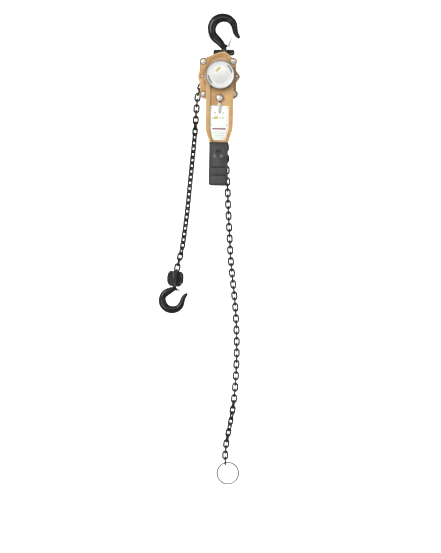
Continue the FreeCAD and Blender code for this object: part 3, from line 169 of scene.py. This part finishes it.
def soft_light(name, place, aim, width, height, power):
    lamp = bpy.data.lights.new(name, "AREA")
    lamp.shape = "RECTANGLE"
    lamp.size, lamp.size_y, lamp.energy = width, height, power
    holder = bpy.data.objects.new(name, lamp)
    bpy.context.scene.collection.objects.link(holder)
    holder.location = place
    holder.rotation_euler = (Vector(aim) - Vector(place)).to_track_quat("-Z", "Y").to_euler()


curved_stage(-18.0, 20.0, 0.6, cad_bounds[0][2] - 2.1, 12.0)
soft_light("key_soft", (-1.5, -2.0, 0.5), (0, 0, -0.6), 0.6, 1.8, 46)
soft_light("fill_soft", (2.0, -2.2, -0.4), (0, 0, -0.9), 0.7, 2.2, 11)
soft_light("front_soft", (0.2, -3.6, 0.8), (0, 0, -0.7), 1.6, 0.8, 17)
soft_light("low_soft", (-0.9, -1.8, -1.4), (0, 0, -1.1), 0.6, 0.9, 9)
soft_light("back_soft", (0.6, 2.6, 1.0), (0, 0, -0.7), 1.2, 1.0, 26)
soft_light("wall_left", (-3.4, 17.0, -1.0), (-0.6, 20, -1.0), 1.5, 6.5, 420)
soft_light("wall_right", (3.4, 17.0, -1.0), (0.6, 20, -1.0), 1.5, 6.5, 420)

world = bpy.data.worlds.new("studio")
bpy.context.scene.world = world
world.use_nodes = True
world.node_tree.nodes["Background"].inputs["Color"].default_value = (1.0, 1.0, 0.99, 1.0)
world.node_tree.nodes["Background"].inputs["Strength"].default_value = 0.31

camera = bpy.data.objects.new("camera", bpy.data.cameras.new("camera"))
bpy.context.scene.collection.objects.link(camera)
camera.location = CAMERA_PLACE
camera.rotation_euler = (math.radians(90), 0, 0)
camera.data.lens = CAMERA_LENS
camera.data.sensor_width = 36
camera.data.clip_end = 60
bpy.context.scene.camera = camera
bpy.context.scene.view_settings.view_transform = "Standard"


# Hooks and yoke: drop forgings under black stove enamel, fairly glossy, with the mottle
# of forging scale beneath and the enamel thinned on the edges.
def worn_edges(place, low, high):
    """1 on outer edges, 0 on flats and in corners, broken up a little."""
    pointed = place.node("ShaderNodeNewGeometry", output=7)
    return stretch(pointed + noise(place, 300.0) * 0.03, low, high)


def forged_enamel():
    finish = Finish("forged_enamel", Coat_Roughness=0.1, Specular_IOR_Level=0.28)
    mottle = noise(finish.place, 60.0, 5.0)
    scale = noise(finish.place, 420.0, 3.0)
    edge = worn_edges(finish.place, 0.56, 0.66)
    black = blend(stretch(mottle, 0.3, 0.75), (0.003, 0.003, 0.0035, 1), (0.010, 0.0095, 0.009, 1))
    finish.feed("Base Color", blend(edge * 0.4, black, (0.06, 0.056, 0.052, 1)))
    finish.feed("Roughness", 0.16 + mottle * 0.2)
    finish.feed("Coat Weight", 0.34 - scale * 0.12)
    finish.bump(scale * 0.4 + mottle, 0.32, 0.6)
    return finish.material


def clothe(material, *nodes):
    """Give CAD nodes their finish."""
    for node in nodes:
        slots = frame["nodes"][node].data.materials
        slots.clear()
        slots.append(material)


def pick(piece):
    """Select one piece alone and make it active."""
    bpy.ops.object.select_all(action="DESELECT")
    bpy.context.view_layer.objects.active = piece
    piece.select_set(True)


def rounded(piece, width, segments=2, angle=32):
    """Round the piece's hard edges, width in millimetres, and smooth what is left."""
    pick(piece)
    rounding = piece.modifiers.new("rounding", "BEVEL")
    rounding.width = width * MM
    rounding.segments = segments
    rounding.limit_method = "ANGLE"
    rounding.angle_limit = math.radians(angle)
    bpy.ops.object.modifier_apply(modifier=rounding.name)
    bpy.ops.object.shade_smooth_by_angle(angle=math.radians(38))
    return piece


def traced(node, name):
    """A copy of a CAD node with its flats merged into whole faces."""
    piece = bpy.data.objects.new(name, frame["nodes"][node].data.copy())
    bpy.context.scene.collection.objects.link(piece)
    pick(piece)
    bpy.ops.object.mode_set(mode="EDIT")
    bpy.ops.mesh.select_all(action="SELECT")
    bpy.ops.mesh.remove_doubles(threshold=0.000004)
    bpy.ops.mesh.dissolve_limited(angle_limit=math.radians(1.0))
    bpy.ops.object.mode_set(mode="OBJECT")
    piece.data.materials.clear()
    return piece


def fit(piece, body, slot, material, *nodes):
    """Put a finished piece on its body, in place of the nodes it stands for."""
    piece.data.materials.clear()
    piece.data.materials.append(material)
    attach(piece, body)
    if nodes:
        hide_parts(*nodes)


enamel = forged_enamel()
clothe(enamel, "top_hook", "bottom_hook", "top_yoke_rivets")
for half in ("top_yoke_front", "top_yoke_rear"):
    fit(rounded(traced(half, half + "_forging"), 3.2, 3), "top_yoke", "hook_black", enamel, half)


# Pins, nuts, screws, latches and the end ring: bright zinc plate over turned or
# pressed steel, a little cloudy, with faint turning marks and duller edges.
def zinc_plate(name, low, high):
    finish = Finish(name, Metallic=1.0)
    cloud = noise(finish.place, 130.0, 4.0)
    marks = noise(finish.place, 1500.0, 2.0)
    edge = worn_edges(finish.place, 0.55, 0.65)
    finish.feed("Base Color", blend(edge * 0.35, blend(cloud, low, high), (0.42, 0.41, 0.39, 1)))
    finish.feed("Roughness", 0.24 + cloud * 0.22)
    finish.bump(marks, 0.12, 0.2)
    return finish.material


def coil(name, centre, radius, wire, start, end, turns):
    """A wound spring about Y from y = start to end; sizes in millimetres, centre in metres."""
    bpy.ops.object.select_all(action="DESELECT")
    bpy.ops.mesh.primitive_circle_add(vertices=10, radius=wire / 2 * MM)
    spring = bpy.context.object
    spring.name = name
    spring.data.transform(Matrix.Translation((radius * MM, (start + wire / 2) * MM, 0)))
    winding = spring.modifiers.new("winding", "SCREW")
    winding.axis = "Y"
    winding.angle = math.radians(360 * turns)
    winding.screw_offset = (end - start - wire) * MM
    winding.steps = winding.render_steps = 20 * turns
    bpy.ops.object.modifier_apply(modifier=winding.name)
    bpy.ops.object.mode_set(mode="EDIT")
    bpy.ops.mesh.select_all(action="SELECT")
    bpy.ops.mesh.fill_holes(sides=0)
    bpy.ops.mesh.select_all(action="SELECT")
    bpy.ops.mesh.normals_make_consistent(inside=False)
    bpy.ops.object.mode_set(mode="OBJECT")
    bpy.ops.object.shade_smooth_by_angle(angle=math.radians(50))
    spring.data.transform(Matrix.Translation(centre))
    return spring


def joined(name, pieces):
    """Several pieces as one."""
    pick(pieces[0])
    for piece in pieces:
        piece.select_set(True)
    bpy.ops.object.join()
    pieces[0].name = name
    return pieces[0]


def spring_wire():
    finish = Finish("spring_wire", Metallic=1.0)
    film = noise(finish.place, 220.0, 4.0)
    finish.feed("Base Color", blend(film, (0.24, 0.24, 0.25, 1), (0.46, 0.46, 0.47, 1)))
    finish.feed("Roughness", 0.25 + film * 0.2)
    finish.bump(film, 0.1, 0.1)
    return finish.material


HINGES = {joint["name"]: Vector(joint["pos_m"]) for joint in frame["joints"]}
zinc = zinc_plate("zinc_plate", (0.60, 0.585, 0.54, 1), (0.80, 0.78, 0.73, 1))
spring_steel = spring_wire()
clothe(zinc, "top_pin", "top_latch_pin", "bottom_latch_pin")
clothe(zinc_plate("ring_plate", (0.10, 0.10, 0.10, 1), (0.24, 0.24, 0.235, 1)), "chain_end_ring")
for node, body, width in (("stay_nuts", "frame", 0.9), ("stay_bolts", "frame", 0.9),
                          ("ear_screws", "frame", 0.7), ("handwheel_nut", "drive", 0.9),
                          ("lever_bolts", "lever", 0.6), ("top_latch", "top_latch", 0.35),
                          ("bottom_latch", "bottom_latch", 0.35)):
    fit(rounded(traced(node, node + "_plated"), width), body, "zinc_steel", zinc, node)
fit(coil("top_latch_coil", HINGES["top_latch_hinge"], 3.4, 1.1, 3.35, 6.85, 3),
    "top_hook", "spring_steel", spring_steel, "top_latch_spring")
fit(coil("bottom_latch_coil", HINGES["bottom_latch_hinge"], 3.4, 1.0, 2.9, 5.95, 3),
    "bottom_hook", "spring_steel", spring_steel, "bottom_latch_spring")


# Inside parts: machined steel with a film of grease, and the woven friction discs.
def greased_steel():
    finish = Finish("greased_steel", Metallic=1.0, Coat_Roughness=0.1)
    smear = noise(finish.place, 80.0, 4.0)
    finish.feed("Base Color", blend(smear, (0.34, 0.31, 0.27, 1), (0.55, 0.54, 0.52, 1)))
    finish.feed("Roughness", 0.3 + smear * 0.25)
    finish.feed("Coat Weight", smear * 0.4)
    finish.bump(noise(finish.place, 1200.0, 2.0), 0.1, 0.2)
    return finish.material


def lining_weave():
    finish = Finish("lining_weave")
    fleck = noise(finish.place, 700.0, 4.0)
    woven = stretch(fleck, 0.35, 0.65)
    finish.feed("Base Color", blend(woven, (0.10, 0.07, 0.05, 1), (0.24, 0.18, 0.12, 1)))
    finish.feed("Roughness", 0.75 + fleck * 0.2)
    finish.bump(fleck, 0.5, 0.4)
    return finish.material


clothe(greased_steel(), "chain_guides", "pawl_pins", "sheave_bearings", "load_sheave", "load_gear",
       "drive_shaft", "brake_hub", "change_gear", "first_gear_upper", "first_gear_lower",
       "pinion_shaft_upper", "pinion_shaft_lower", "ratchet_disc", "pawl_upper", "pawl_lower",
       "changeover_pawl", "bottom_chain_pin")
clothe(lining_weave(), "friction_discs")
pawl_coils = [coil("pawl_coil", HINGES[name], 4.75, 1.0, -26.8, -19.6, 5)
              for name in ("pawl_upper_lift", "pawl_lower_lift")]
fit(joined("pawl_coils", pawl_coils), "frame", "spring_steel", spring_steel, "pawl_springs")


# Side plates, covers and lever shells: pressed and cast steel in tan stove enamel,
# glossy, with slow drifts of tone, an orange-peel skin and lighter worn edges, and with
# painted shade in the creases and in a ring round the handwheel.
SHAFT = Matrix.Translation((-13.7 * MM, 0, -193.7 * MM))


def local_axes(finish, matrix):
    """X and Z, in metres, in the frame that the matrix places."""
    turned_by = matrix.to_euler()
    local = finish.place.node("ShaderNodeMapping", {"Vector": finish.place, "Location": matrix.translation,
                                                    "Rotation": tuple(turned_by)}, vector_type="TEXTURE")
    return (local.node("ShaderNodeSeparateXYZ", {0: local}, 0),
            local.node("ShaderNodeSeparateXYZ", {0: local}, 2))


def tan_enamel():
    finish = Finish("tan_enamel", Coat_Roughness=0.14)
    drift = noise(finish.place, 16.0, 3.0)
    peel = noise(finish.place, 560.0, 2.0)
    dust = noise(finish.place, 150.0, 6.0, 0.7)
    edge = worn_edges(finish.place, 0.57, 0.68)
    tan = blend(stretch(drift, 0.3, 0.7), (0.50, 0.275, 0.092, 1), (0.66, 0.405, 0.158, 1))
    dusty = blend(stretch(dust, 0.58, 0.78) * 0.5, tan, (0.36, 0.21, 0.08, 1))
    # Painted shade: where the pointiness falls below that of a flat, in creases and inside corners, the tan
    # is darkened towards dark brown, broken up a little by the dust noise.
    corner = finish.place.node("ShaderNodeNewGeometry", output=7)
    tan_dust_and_shade = blend(stretch(corner + dust * 0.04, 0.5, 0.44) * 0.75, dusty, (0.22, 0.11, 0.04, 1))
    # Painted shade: a soft ring of darker tan round the handwheel, full within about 57 mm of the shaft and
    # gone by about 79 mm.
    x, z = local_axes(finish, SHAFT)
    wheel_shade = stretch(x * x + z * z + dust * 0.002, 0.0062, 0.0032) * 0.55
    tan_dust_and_shade = blend(wheel_shade, tan_dust_and_shade, (0.25, 0.125, 0.04, 1))
    finish.feed("Base Color", blend(edge * 0.45, tan_dust_and_shade, (0.80, 0.57, 0.31, 1)))
    finish.feed("Roughness", 0.26 + drift * 0.16 + stretch(dust, 0.55, 0.8) * 0.2)
    finish.feed("Coat Weight", 0.5 - drift * 0.2)
    finish.bump(peel, 0.14, 0.4)
    return finish.material


def prism(name, outline, back, front, place):
    """A closed block: an outline in X and Z drawn as one face, then extruded along Y."""
    bpy.ops.object.select_all(action="DESELECT")
    bpy.ops.mesh.primitive_circle_add(vertices=len(outline), radius=MM, fill_type="NGON")
    block = bpy.context.object
    block.name = name
    for vertex, (x, z) in zip(block.data.vertices, outline):
        vertex.co = (x * MM, back * MM, z * MM)
    bpy.ops.object.mode_set(mode="EDIT")
    bpy.ops.mesh.select_all(action="SELECT")
    bpy.ops.mesh.extrude_region_move(TRANSFORM_OT_translate={"value": (0, (front - back) * MM, 0)})
    bpy.ops.mesh.select_all(action="SELECT")
    bpy.ops.mesh.normals_make_consistent(inside=False)
    bpy.ops.object.mode_set(mode="OBJECT")
    block.data.transform(place)
    return block


def turned(name, profile, place, steps=72):
    """A closed solid of revolution about Y from a loop of (radius, y) points."""
    bpy.ops.object.select_all(action="DESELECT")
    bpy.ops.mesh.primitive_circle_add(vertices=len(profile), radius=MM)
    solid = bpy.context.object
    solid.name = name
    for vertex, (radius, y) in zip(solid.data.vertices, profile):
        vertex.co = (radius * MM, y * MM, 0)
    sweep = solid.modifiers.new("sweep", "SCREW")
    sweep.axis = "Y"
    sweep.steps = sweep.render_steps = steps
    bpy.ops.object.modifier_apply(modifier=sweep.name)
    bpy.ops.object.mode_set(mode="EDIT")
    bpy.ops.mesh.select_all(action="SELECT")
    bpy.ops.mesh.remove_doubles(threshold=0.00001)
    bpy.ops.mesh.dissolve_degenerate(threshold=0.000004)
    bpy.ops.mesh.delete_loose()
    bpy.ops.mesh.select_all(action="SELECT")
    bpy.ops.mesh.normals_make_consistent(inside=False)
    bpy.ops.object.mode_set(mode="OBJECT")
    bpy.ops.object.shade_smooth_by_angle(angle=math.radians(35))
    solid.data.transform(place)
    return solid


def cut(piece, tool):
    """Cut one solid out of another and throw the tool away."""
    pick(piece)
    cutting = piece.modifiers.new("cutting", "BOOLEAN")
    cutting.operation = "DIFFERENCE"
    cutting.solver = "EXACT"
    cutting.object = tool
    bpy.ops.object.modifier_apply(modifier=cutting.name)
    bpy.data.objects.remove(tool)
    return piece


tan = tan_enamel()

def soften(piece, radius, near, place=SHAFT, clamp=True):
    """Round the corners of an outline seen from the front, where near(x, z) in mm is true."""
    pick(piece)
    bpy.ops.object.mode_set(mode="EDIT")
    bpy.ops.mesh.select_mode(type="EDGE")
    bpy.ops.mesh.select_all(action="DESELECT")
    bpy.ops.object.mode_set(mode="OBJECT")
    points = [place.inverted() @ vertex.co / MM for vertex in piece.data.vertices]
    for edge in piece.data.edges:
        start, end = (points[index] for index in edge.vertices)
        level = abs(start.x - end.x) + abs(start.z - end.z) < 0.05
        edge.select = level and abs(start.y - end.y) > 0.3 and near(start.x, start.z)
    bpy.ops.object.mode_set(mode="EDIT")
    bpy.ops.mesh.bevel(offset=radius * MM, segments=6, affect="EDGES", clamp_overlap=clamp)
    bpy.ops.object.mode_set(mode="OBJECT")
    return piece


def on_crown(x, z):
    """True on the covers' crown, clear of the hanging pin's hole."""
    return abs(x) < 34 and z > 50 and math.hypot(x - 13.7, z - 66.7) > 8


front_panel = [(-44, 34), (-43, 43), (-35, 60), (-20, 68), (-3, 75), (15, 78), (26, 69), (31, 58), (34, 34),
               (46, 18), (46, -22), (34, -52), (-44, -52), (-60, -20), (-60, 12)]
for plate in ("front_side_plate", "rear_side_plate"):
    pressing = soften(traced(plate, plate + "_pressing"), 9, on_crown)
    fit(rounded(pressing, 0.6), "frame", "tan_paint", tan, plate)
cover = cut(soften(traced("brake_cover", "brake_casting"), 9, on_crown),
            prism("front_panel", front_panel, -45.6, -48, SHAFT))
cover = cut(cover, prism("crown_line", [(-24, 60), (-3, 67.5), (14, 70), (21, 62), (19, 59), (13, 66.5),
                                        (-3, 64), (-22, 56.5)], -44.9, -48, SHAFT))
fit(rounded(cover, 1.3, 3), "frame", "tan_paint", tan, "brake_cover")

rear_panel = [(-62, 30), (-58, 34), (-44, 46), (-40, 60), (-3, 74), (15, 77), (27, 66), (30, 44), (48, 34),
              (48, -48), (30, -60), (26, -74), (-40, -74), (-46, -60), (-62, -48)]
cover = cut(soften(traced("gear_cover", "gear_casting"), 9, on_crown),
            prism("rear_panel", rear_panel, 60, 56.6, SHAFT))
fit(rounded(cover, 2.0, 3), "frame", "tan_paint", tan, "gear_cover")
boss = turned("gear_boss", [(0, 56.4), (26, 56.4), (25, 57.6), (22, 58), (15, 58), (14, 57.2), (0, 57.2)],
              SHAFT)
fit(boss, "frame", "tan_paint", tan)

LEVER = SHAFT @ Matrix.Rotation(math.radians(1.2), 4, "Y")


def on_waist(x, z):
    """True where the lever starts to narrow towards its neck."""
    return abs(x) > 45 and -201 < z < -191


for shell, width in (("lever_rear_shell", 1.6), ("lever_front_shell", 1.1)):
    pressing = soften(traced(shell, shell + "_pressing"), 15, on_waist, LEVER, False)
    fit(rounded(pressing, width, 3), "lever", "tan_paint", tan, shell)


# Bottom block: two forged halves with rounded shoulders and a shallow hollow each side
# of the seam, front and back, held by two through bolts sunk in notches.
BLOCK = Matrix.Translation(HINGES["bottom_block_swing"]) @ Matrix.Rotation(math.radians(6.5), 4, "Y")


def on_shoulder(x, z):
    """True on the block's outer corners, above and below the bolt notches."""
    return abs(x) > 13 and (z > -2 or z < -36)


for half, side in (("bottom_block_left", -1), ("bottom_block_right", 1)):
    forging = soften(traced(half, half + "_forging"), 5, on_shoulder, BLOCK)
    hollow = [(6.5, 5), (17, 7), (25, -3), (26.5, -13), (20, -15), (20, -33), (23, -35),
              (18, -40), (6.5, -40)]
    for back, front in ((-17.2, -20), (17.2, 20)):
        forging = cut(forging, prism("hollow", [(side * x, z) for x, z in hollow], back, front, BLOCK))
    fit(rounded(forging, 1.6, 3), "bottom_block", "hook_black", enamel, half)
for part in ("bottom_block_bolts", "bottom_block_nuts"):
    fit(rounded(traced(part, part + "_enamelled"), 0.6), "bottom_block", "hook_black", enamel, part)


# Chain: welded links of heat-treated alloy wire with a black oiled finish.
def blackened_wire():
    finish = Finish("blackened_wire", Coat_Roughness=0.18, Specular_IOR_Level=0.3)
    scale = noise(finish.place, 170.0, 5.0)
    fine = noise(finish.place, 900.0, 2.0)
    oiled = stretch(scale, 0.3, 0.8)
    finish.feed("Base Color", blend(oiled, (0.004, 0.004, 0.004, 1), (0.022, 0.021, 0.019, 1)))
    finish.feed("Metallic", stretch(scale, 0.5, 0.8) * 0.6)
    finish.feed("Roughness", 0.26 + scale * 0.22)
    finish.feed("Coat Weight", scale * 0.28)
    finish.bump(scale + fine * 0.3, 0.25, 0.3)
    return finish.material


clothe(blackened_wire(), "chain_over_sheave", "load_chain_upper", "load_chain_lower",
       "slack_chain_upper", "slack_chain_middle", "slack_chain_lower")


# Handwheel: a black enamelled rim with a bright satin disc set into it, which has two
# curved slots and a small printed badge.
def bar(x, z, centre, half, lean=0.0):
    """1 inside a bar, sizes in millimetres and its lean in degrees, else 0."""
    c, s = math.cos(math.radians(lean)), math.sin(math.radians(lean))
    across, up = x - centre[0] * MM, z - centre[1] * MM
    along = across * c + up * s
    aside = up * c - across * s
    inside = along.node("ShaderNodeMath", {0: along, 1: 0.0, 2: half[0] * MM}, operation="COMPARE")
    return inside * aside.node("ShaderNodeMath", {0: aside, 1: 0.0, 2: half[1] * MM}, operation="COMPARE")


def rim_enamel():
    finish = Finish("rim_enamel", Coat_Roughness=0.15, Specular_IOR_Level=0.3)
    x, z = local_axes(finish, SHAFT)
    lip = stretch(x * x + z * z, 0.0504 ** 2, 0.0501 ** 2)
    dust = noise(finish.place, 90.0, 4.0)
    edge = worn_edges(finish.place, 0.56, 0.66)
    black = blend(dust, (0.007, 0.007, 0.008, 1), (0.02, 0.02, 0.022, 1))
    worn = blend(edge * 0.4, black, (0.12, 0.12, 0.12, 1))
    finish.feed("Base Color", blend(lip, worn, (0.42, 0.43, 0.44, 1)))
    finish.feed("Roughness", 0.28 + dust * 0.2)
    finish.feed("Coat Weight", 0.4 - dust * 0.2)
    finish.bump(noise(finish.place, 900.0, 2.0), 0.12, 0.3)
    return finish.material


def bright_disc():
    finish = Finish("bright_disc")
    x, z = local_axes(finish, SHAFT)
    haze = noise(finish.place, 34.0, 3.0)
    wobble = noise(finish.place, 150.0, 2.0) * 0.006 - 0.003
    badge = (bar(x + wobble, z + wobble, (-10, 16.5), (6.5, 4.4), 38)
             + bar(x + wobble, z - wobble, (-3.5, 23), (6.0, 4.6), 30))
    print_row = bar(x, z, (-3, -31), (15, 1.1)) + bar(x, z, (-1, -35), (10, 0.8))
    plain = blend(haze, (0.68, 0.685, 0.67, 1), (0.78, 0.785, 0.77, 1))
    reach = x * x + z * z
    groove = reach.node("ShaderNodeMath", {0: reach, 1: 0.0449 ** 2, 2: 0.00005}, operation="COMPARE")
    marked = blend(print_row * 0.25 + groove * 0.3, plain, (0.45, 0.47, 0.46, 1))
    finish.feed("Base Color", blend(stretch(badge, 0.0, 1.0), marked, (0.55, 0.50, 0.12, 1)))
    finish.feed("Metallic", 0.35 - stretch(badge + print_row, 0.0, 1.0) * 0.35)
    finish.feed("Roughness", 0.30 + haze * 0.14)
    finish.bump(noise(finish.place, 420.0, 2.0), 0.05, 0.2)
    return finish.material


def arc_slot(radius, half, middle, reach):
    """Outline of a curved slot with round ends, in degrees about the axis."""
    outline = []
    for side in (1, -1):
        edge = radius + side * half
        for step in range(-6, 7):
            angle = math.radians(middle + side * step * reach / 6)
            outline.append((edge * math.cos(angle), edge * math.sin(angle)))
        cap = math.radians(middle + side * reach)
        for swing in (45, 90, 135):
            out = side * half * math.cos(math.radians(swing))
            on = side * half * math.sin(math.radians(swing))
            outline.append(((radius + out) * math.cos(cap) - on * math.sin(cap),
                            (radius + out) * math.sin(cap) + on * math.cos(cap)))
    return outline


fit(rounded(traced("handwheel", "handwheel_rim"), 0.8, 2), "drive", "wheel_black", rim_enamel(), "handwheel")
face = turned("handwheel_face", [
    (0, -104), (46.5, -104), (46.5, -96), (48, -96), (48, -105.6), (47, -106.4), (45.6, -105.9),
    (43.5, -105.7), (33, -106.4), (31.5, -106.2), (30, -106.5), (0, -107)], SHAFT, 96)
for middle in (30, 204):
    face = cut(face, prism("slot", arc_slot(41.9, 2.1, middle, 19), -102, -109, SHAFT))
fit(rounded(face, 0.35, 2, 50), "drive", "wheel_chrome", bright_disc(), "handwheel_cap")


# Grip: moulded rubber pushed over the lever's neck. A collar at the top, raised panels
# with grooves between them and a border rib each side in front, finger ribs behind.
def grip_rubber(name, low, high):
    finish = Finish(name, Specular_IOR_Level=0.4)
    fine = noise(finish.place, 1300.0, 3.0)
    bloom = noise(finish.place, 30.0, 5.0)
    edge = worn_edges(finish.place, 0.53, 0.62)
    x, z = local_axes(finish, LEVER)
    # Painted shade: the rubber is darkened nearly to black on the grip's two sides, in the grooves between
    # the panels, in the upper panel's slot and along the top of the collar under the lever, and more lightly
    # at the lower end.
    sides = stretch(x * x, 0.0285 ** 2, 0.0335 ** 2)
    grooves = bar(x, z, (0, -331), (27, 2.6)) + bar(x, z, (0, -359), (27, 2.4))
    grooves = grooves + bar(x, z, (0, -244), (36, 4)) + bar(x, z, (0, -274), (9, 4.5))
    grooves = grooves + bar(x, z, (0, -393), (36, 3)) * 0.6
    shade = stretch(grooves + sides * 0.65, 0.0, 1.0)
    plain = blend(stretch(bloom, 0.3, 0.7), low, high)
    finish.feed("Base Color", blend(edge * 0.3, blend(shade * 0.85, plain, (0.008, 0.008, 0.008, 1)),
                                    (0.15, 0.15, 0.145, 1)))
    finish.feed("Roughness", 0.46 + fine * 0.25)
    finish.bump(fine, 0.3, 0.3)
    return finish.material


def slab(name, left, right, top, bottom, back, front, rounding, place=LEVER):
    """A rounded block between the given sides, in millimetres."""
    outline = [(left, bottom), (right, bottom), (right, top), (left, top)]
    return rounded(prism(name, outline, back, front, place), rounding, 3)


core_outline = [(-34.2, -247), (-34.2, -388), (-31.5, -394.3), (-25.2, -397), (25.2, -397), (31.5, -394.3),
                (34.2, -388), (34.2, -247)]
grip_parts = [
    rounded(prism("grip_core", core_outline, -50.8, -84.4, LEVER), 3.2, 4),
    slab("grip_collar", -35, 35, -241, -250.5, -50, -86, 2.0),
    slab("grip_lip", -34.6, 34.6, -250, -253.6, -50.3, -85.3, 0.8)]
upper = prism("upper_panel", [(-19, -328), (19, -328), (21, -266), (17, -259.5), (-17, -259.5), (-21, -266)],
              -83.8, -85.6, LEVER)
upper = cut(upper, prism("slot", [(-9, -269), (-6.5, -279), (6.5, -279), (9, -269)], -84.6, -88, LEVER))
grip_parts.append(rounded(upper, 0.5))
for left, right, top, bottom in ((-25, 25, -334, -356), (-25, 25, -362, -388)):
    grip_parts.append(slab("panel", left, right, top, bottom, -83.8, -85.4, 0.7))
for side in (-1, 1):
    grip_parts.append(slab("border", side * 28.6 - 1.3, side * 28.6 + 1.3, -257, -390, -83.8, -85.8, 0.6))
for row in range(9):
    high = -262 - row * 14
    grip_parts.append(slab("finger_rib", -27, 27, high, high - 8, -51.5, -50.1, 0.6))
rubber = grip_rubber("grip_rubber", (0.030, 0.030, 0.030, 1), (0.060, 0.060, 0.057, 1))
fit(joined("grip_moulding", grip_parts), "lever", "grip_rubber", rubber, "lever_grip")
pads = [slab("pad", x - 5, x + 5, z + 5.2, z - 5.2, -85.4, -86, 0.3)
        for x, z in ((-13.5, -291.5), (10, -291))]
fit(joined("grip_pads", pads), "lever", "grip_rubber",
    grip_rubber("pad_rubber", (0.13, 0.13, 0.125, 1), (0.20, 0.20, 0.19, 1)))


# Name plate: thin aluminium printed white, with a badge, a dark band, small print and
# two marks beside the pointer's tip, held by six domed rivets.
def printed_plate():
    finish = Finish("printed_plate", Coat_Weight=0.2)
    x, z = local_axes(finish, LEVER)
    tone = noise(finish.place, 40.0, 3.0)
    wobble = noise(finish.place, 170.0, 2.0) * 0.007 - 0.0035
    badge = (bar(x + wobble, z + wobble, (-14.5, -153.5), (10.5, 4.8))
             - bar(x - wobble, z, (-21, -150.2), (6, 2.2), 30))
    words = bar(x, z, (9, -151.5), (10, 1.5)) + bar(x, z, (8, -156), (9, 1.2))
    band = bar(x, z, (-0.5, -193.3), (24.2, 2.5))
    lines = bar(x, z, (-0.5, -205), (23, 1.0))
    for drop, half in ((211, 21.5), (217, 19.5), (223, 17.5)):
        lines = lines + bar(x, z, (-0.5, -drop), (half, 0.9))
    marks = bar(x, z, (-15.5, -136), (4.2, 1.2), -32) + bar(x, z, (13.5, -136), (4.2, 1.2), 32)
    grain = stretch(noise(finish.place, 900.0, 1.0), 0.42, 0.52)
    white = blend(tone, (0.84, 0.89, 0.84, 1), (0.93, 0.96, 0.92, 1))
    inked = blend((words + lines) * (0.35 + grain * 0.4), white, (0.30, 0.33, 0.31, 1))
    inked = blend(stretch(badge, 0.0, 1.0), inked, (0.50, 0.52, 0.14, 1))
    inked = blend(band, inked, (0.27, 0.055, 0.10, 1))
    finish.feed("Base Color", blend(stretch(marks, 0.0, 1.0), inked, (0.04, 0.04, 0.04, 1)))
    finish.feed("Roughness", 0.32 + tone * 0.12)
    finish.bump(noise(finish.place, 500.0, 2.0), 0.04, 0.2)
    return finish.material


fit(rounded(traced("name_plate", "name_plate_sheet"), 0.25), "lever", "plate_white", printed_plate(),
    "name_plate")
head_profile = [(0, -80), (2.2, -80), (2.1, -80.5), (1.6, -80.95), (0.8, -81.2), (0, -81.2)]
heads = []
for across, drop in ((27, 119), (27, 180), (19, 228)):
    for side in (-1, 1):
        seat = LEVER @ Matrix.Translation((side * across * MM, 0, -drop * MM))
        heads.append(turned("rivet", head_profile, seat, 24))
fit(joined("name_plate_heads", heads), "lever", "zinc_steel",
    zinc_plate("rivet_plate", (0.36, 0.36, 0.35, 1), (0.56, 0.56, 0.54, 1)), "name_plate_rivets")


# Selector: a polished die casting, a domed knob on a skirt with a tapered pointer whose
# tip is blackened; painted shade darkens the skirt round the knob to dark plum and the
# pointer's neck under the knob.
SELECTOR = LEVER @ Matrix.Translation((0, 0, -82.3 * MM))


def polished_casting():
    finish = Finish("polished_casting")
    x, z = local_axes(finish, SELECTOR)
    haze = noise(finish.place, 200.0, 3.0)
    tip = stretch(z, -0.046, -0.052)
    # Painted shade: the pointer's neck just under the knob is darkened along with the blackened tip, and the
    # skirt round the knob's rim is painted a dark plum shade.
    neck = bar(x, z, (0, -15.5), (5, 2.6))
    skirt = stretch(x * x + z * z, 0.0112 ** 2, 0.0116 ** 2) * stretch(z, -0.0145, -0.0135)
    bright = blend(haze, (0.70, 0.72, 0.68, 1), (0.86, 0.88, 0.84, 1))
    skirted = blend(skirt, bright, (0.12, 0.055, 0.075, 1))
    finish.feed("Base Color", blend(stretch(tip + neck, 0.0, 1.0), skirted, (0.05, 0.035, 0.04, 1)))
    finish.feed("Metallic", 0.55 - stretch(tip + neck, 0.0, 1.0) * 0.4)
    finish.feed("Roughness", 0.16 + haze * 0.14)
    finish.bump(haze, 0.05, 0.2)
    return finish.material


knob_profile = [(0, -81), (12.6, -81), (13.2, -83.2), (12.2, -84.6), (10.6, -85.2), (10.4, -88),
                (9.4, -91), (6.6, -93.2), (3, -94), (0, -94)]
knob = turned("knob", knob_profile, SELECTOR, 64)
spindle = turned("spindle", [(0, -62), (4, -62), (4, -81.5), (0, -81.5)], SELECTOR, 32)
pointer_outline = [(-4, -9), (-2.6, -17), (-6.4, -25), (-4.2, -45), (0, -57), (4.2, -45),
                   (6.4, -25), (2.6, -17), (4, -9)]
pointer = prism("pointer", pointer_outline, -81, -85.5, SELECTOR)
diamond = prism("skirt", [(-15, 0), (0, -17.5), (15, 0), (0, 14)], -81, -83, SELECTOR)
fit(joined("selector_casting", [knob, spindle, rounded(pointer, 1.0, 3), rounded(diamond, 0.6)]),
    "selector", "selector_chrome", polished_casting(), "selector_knob")
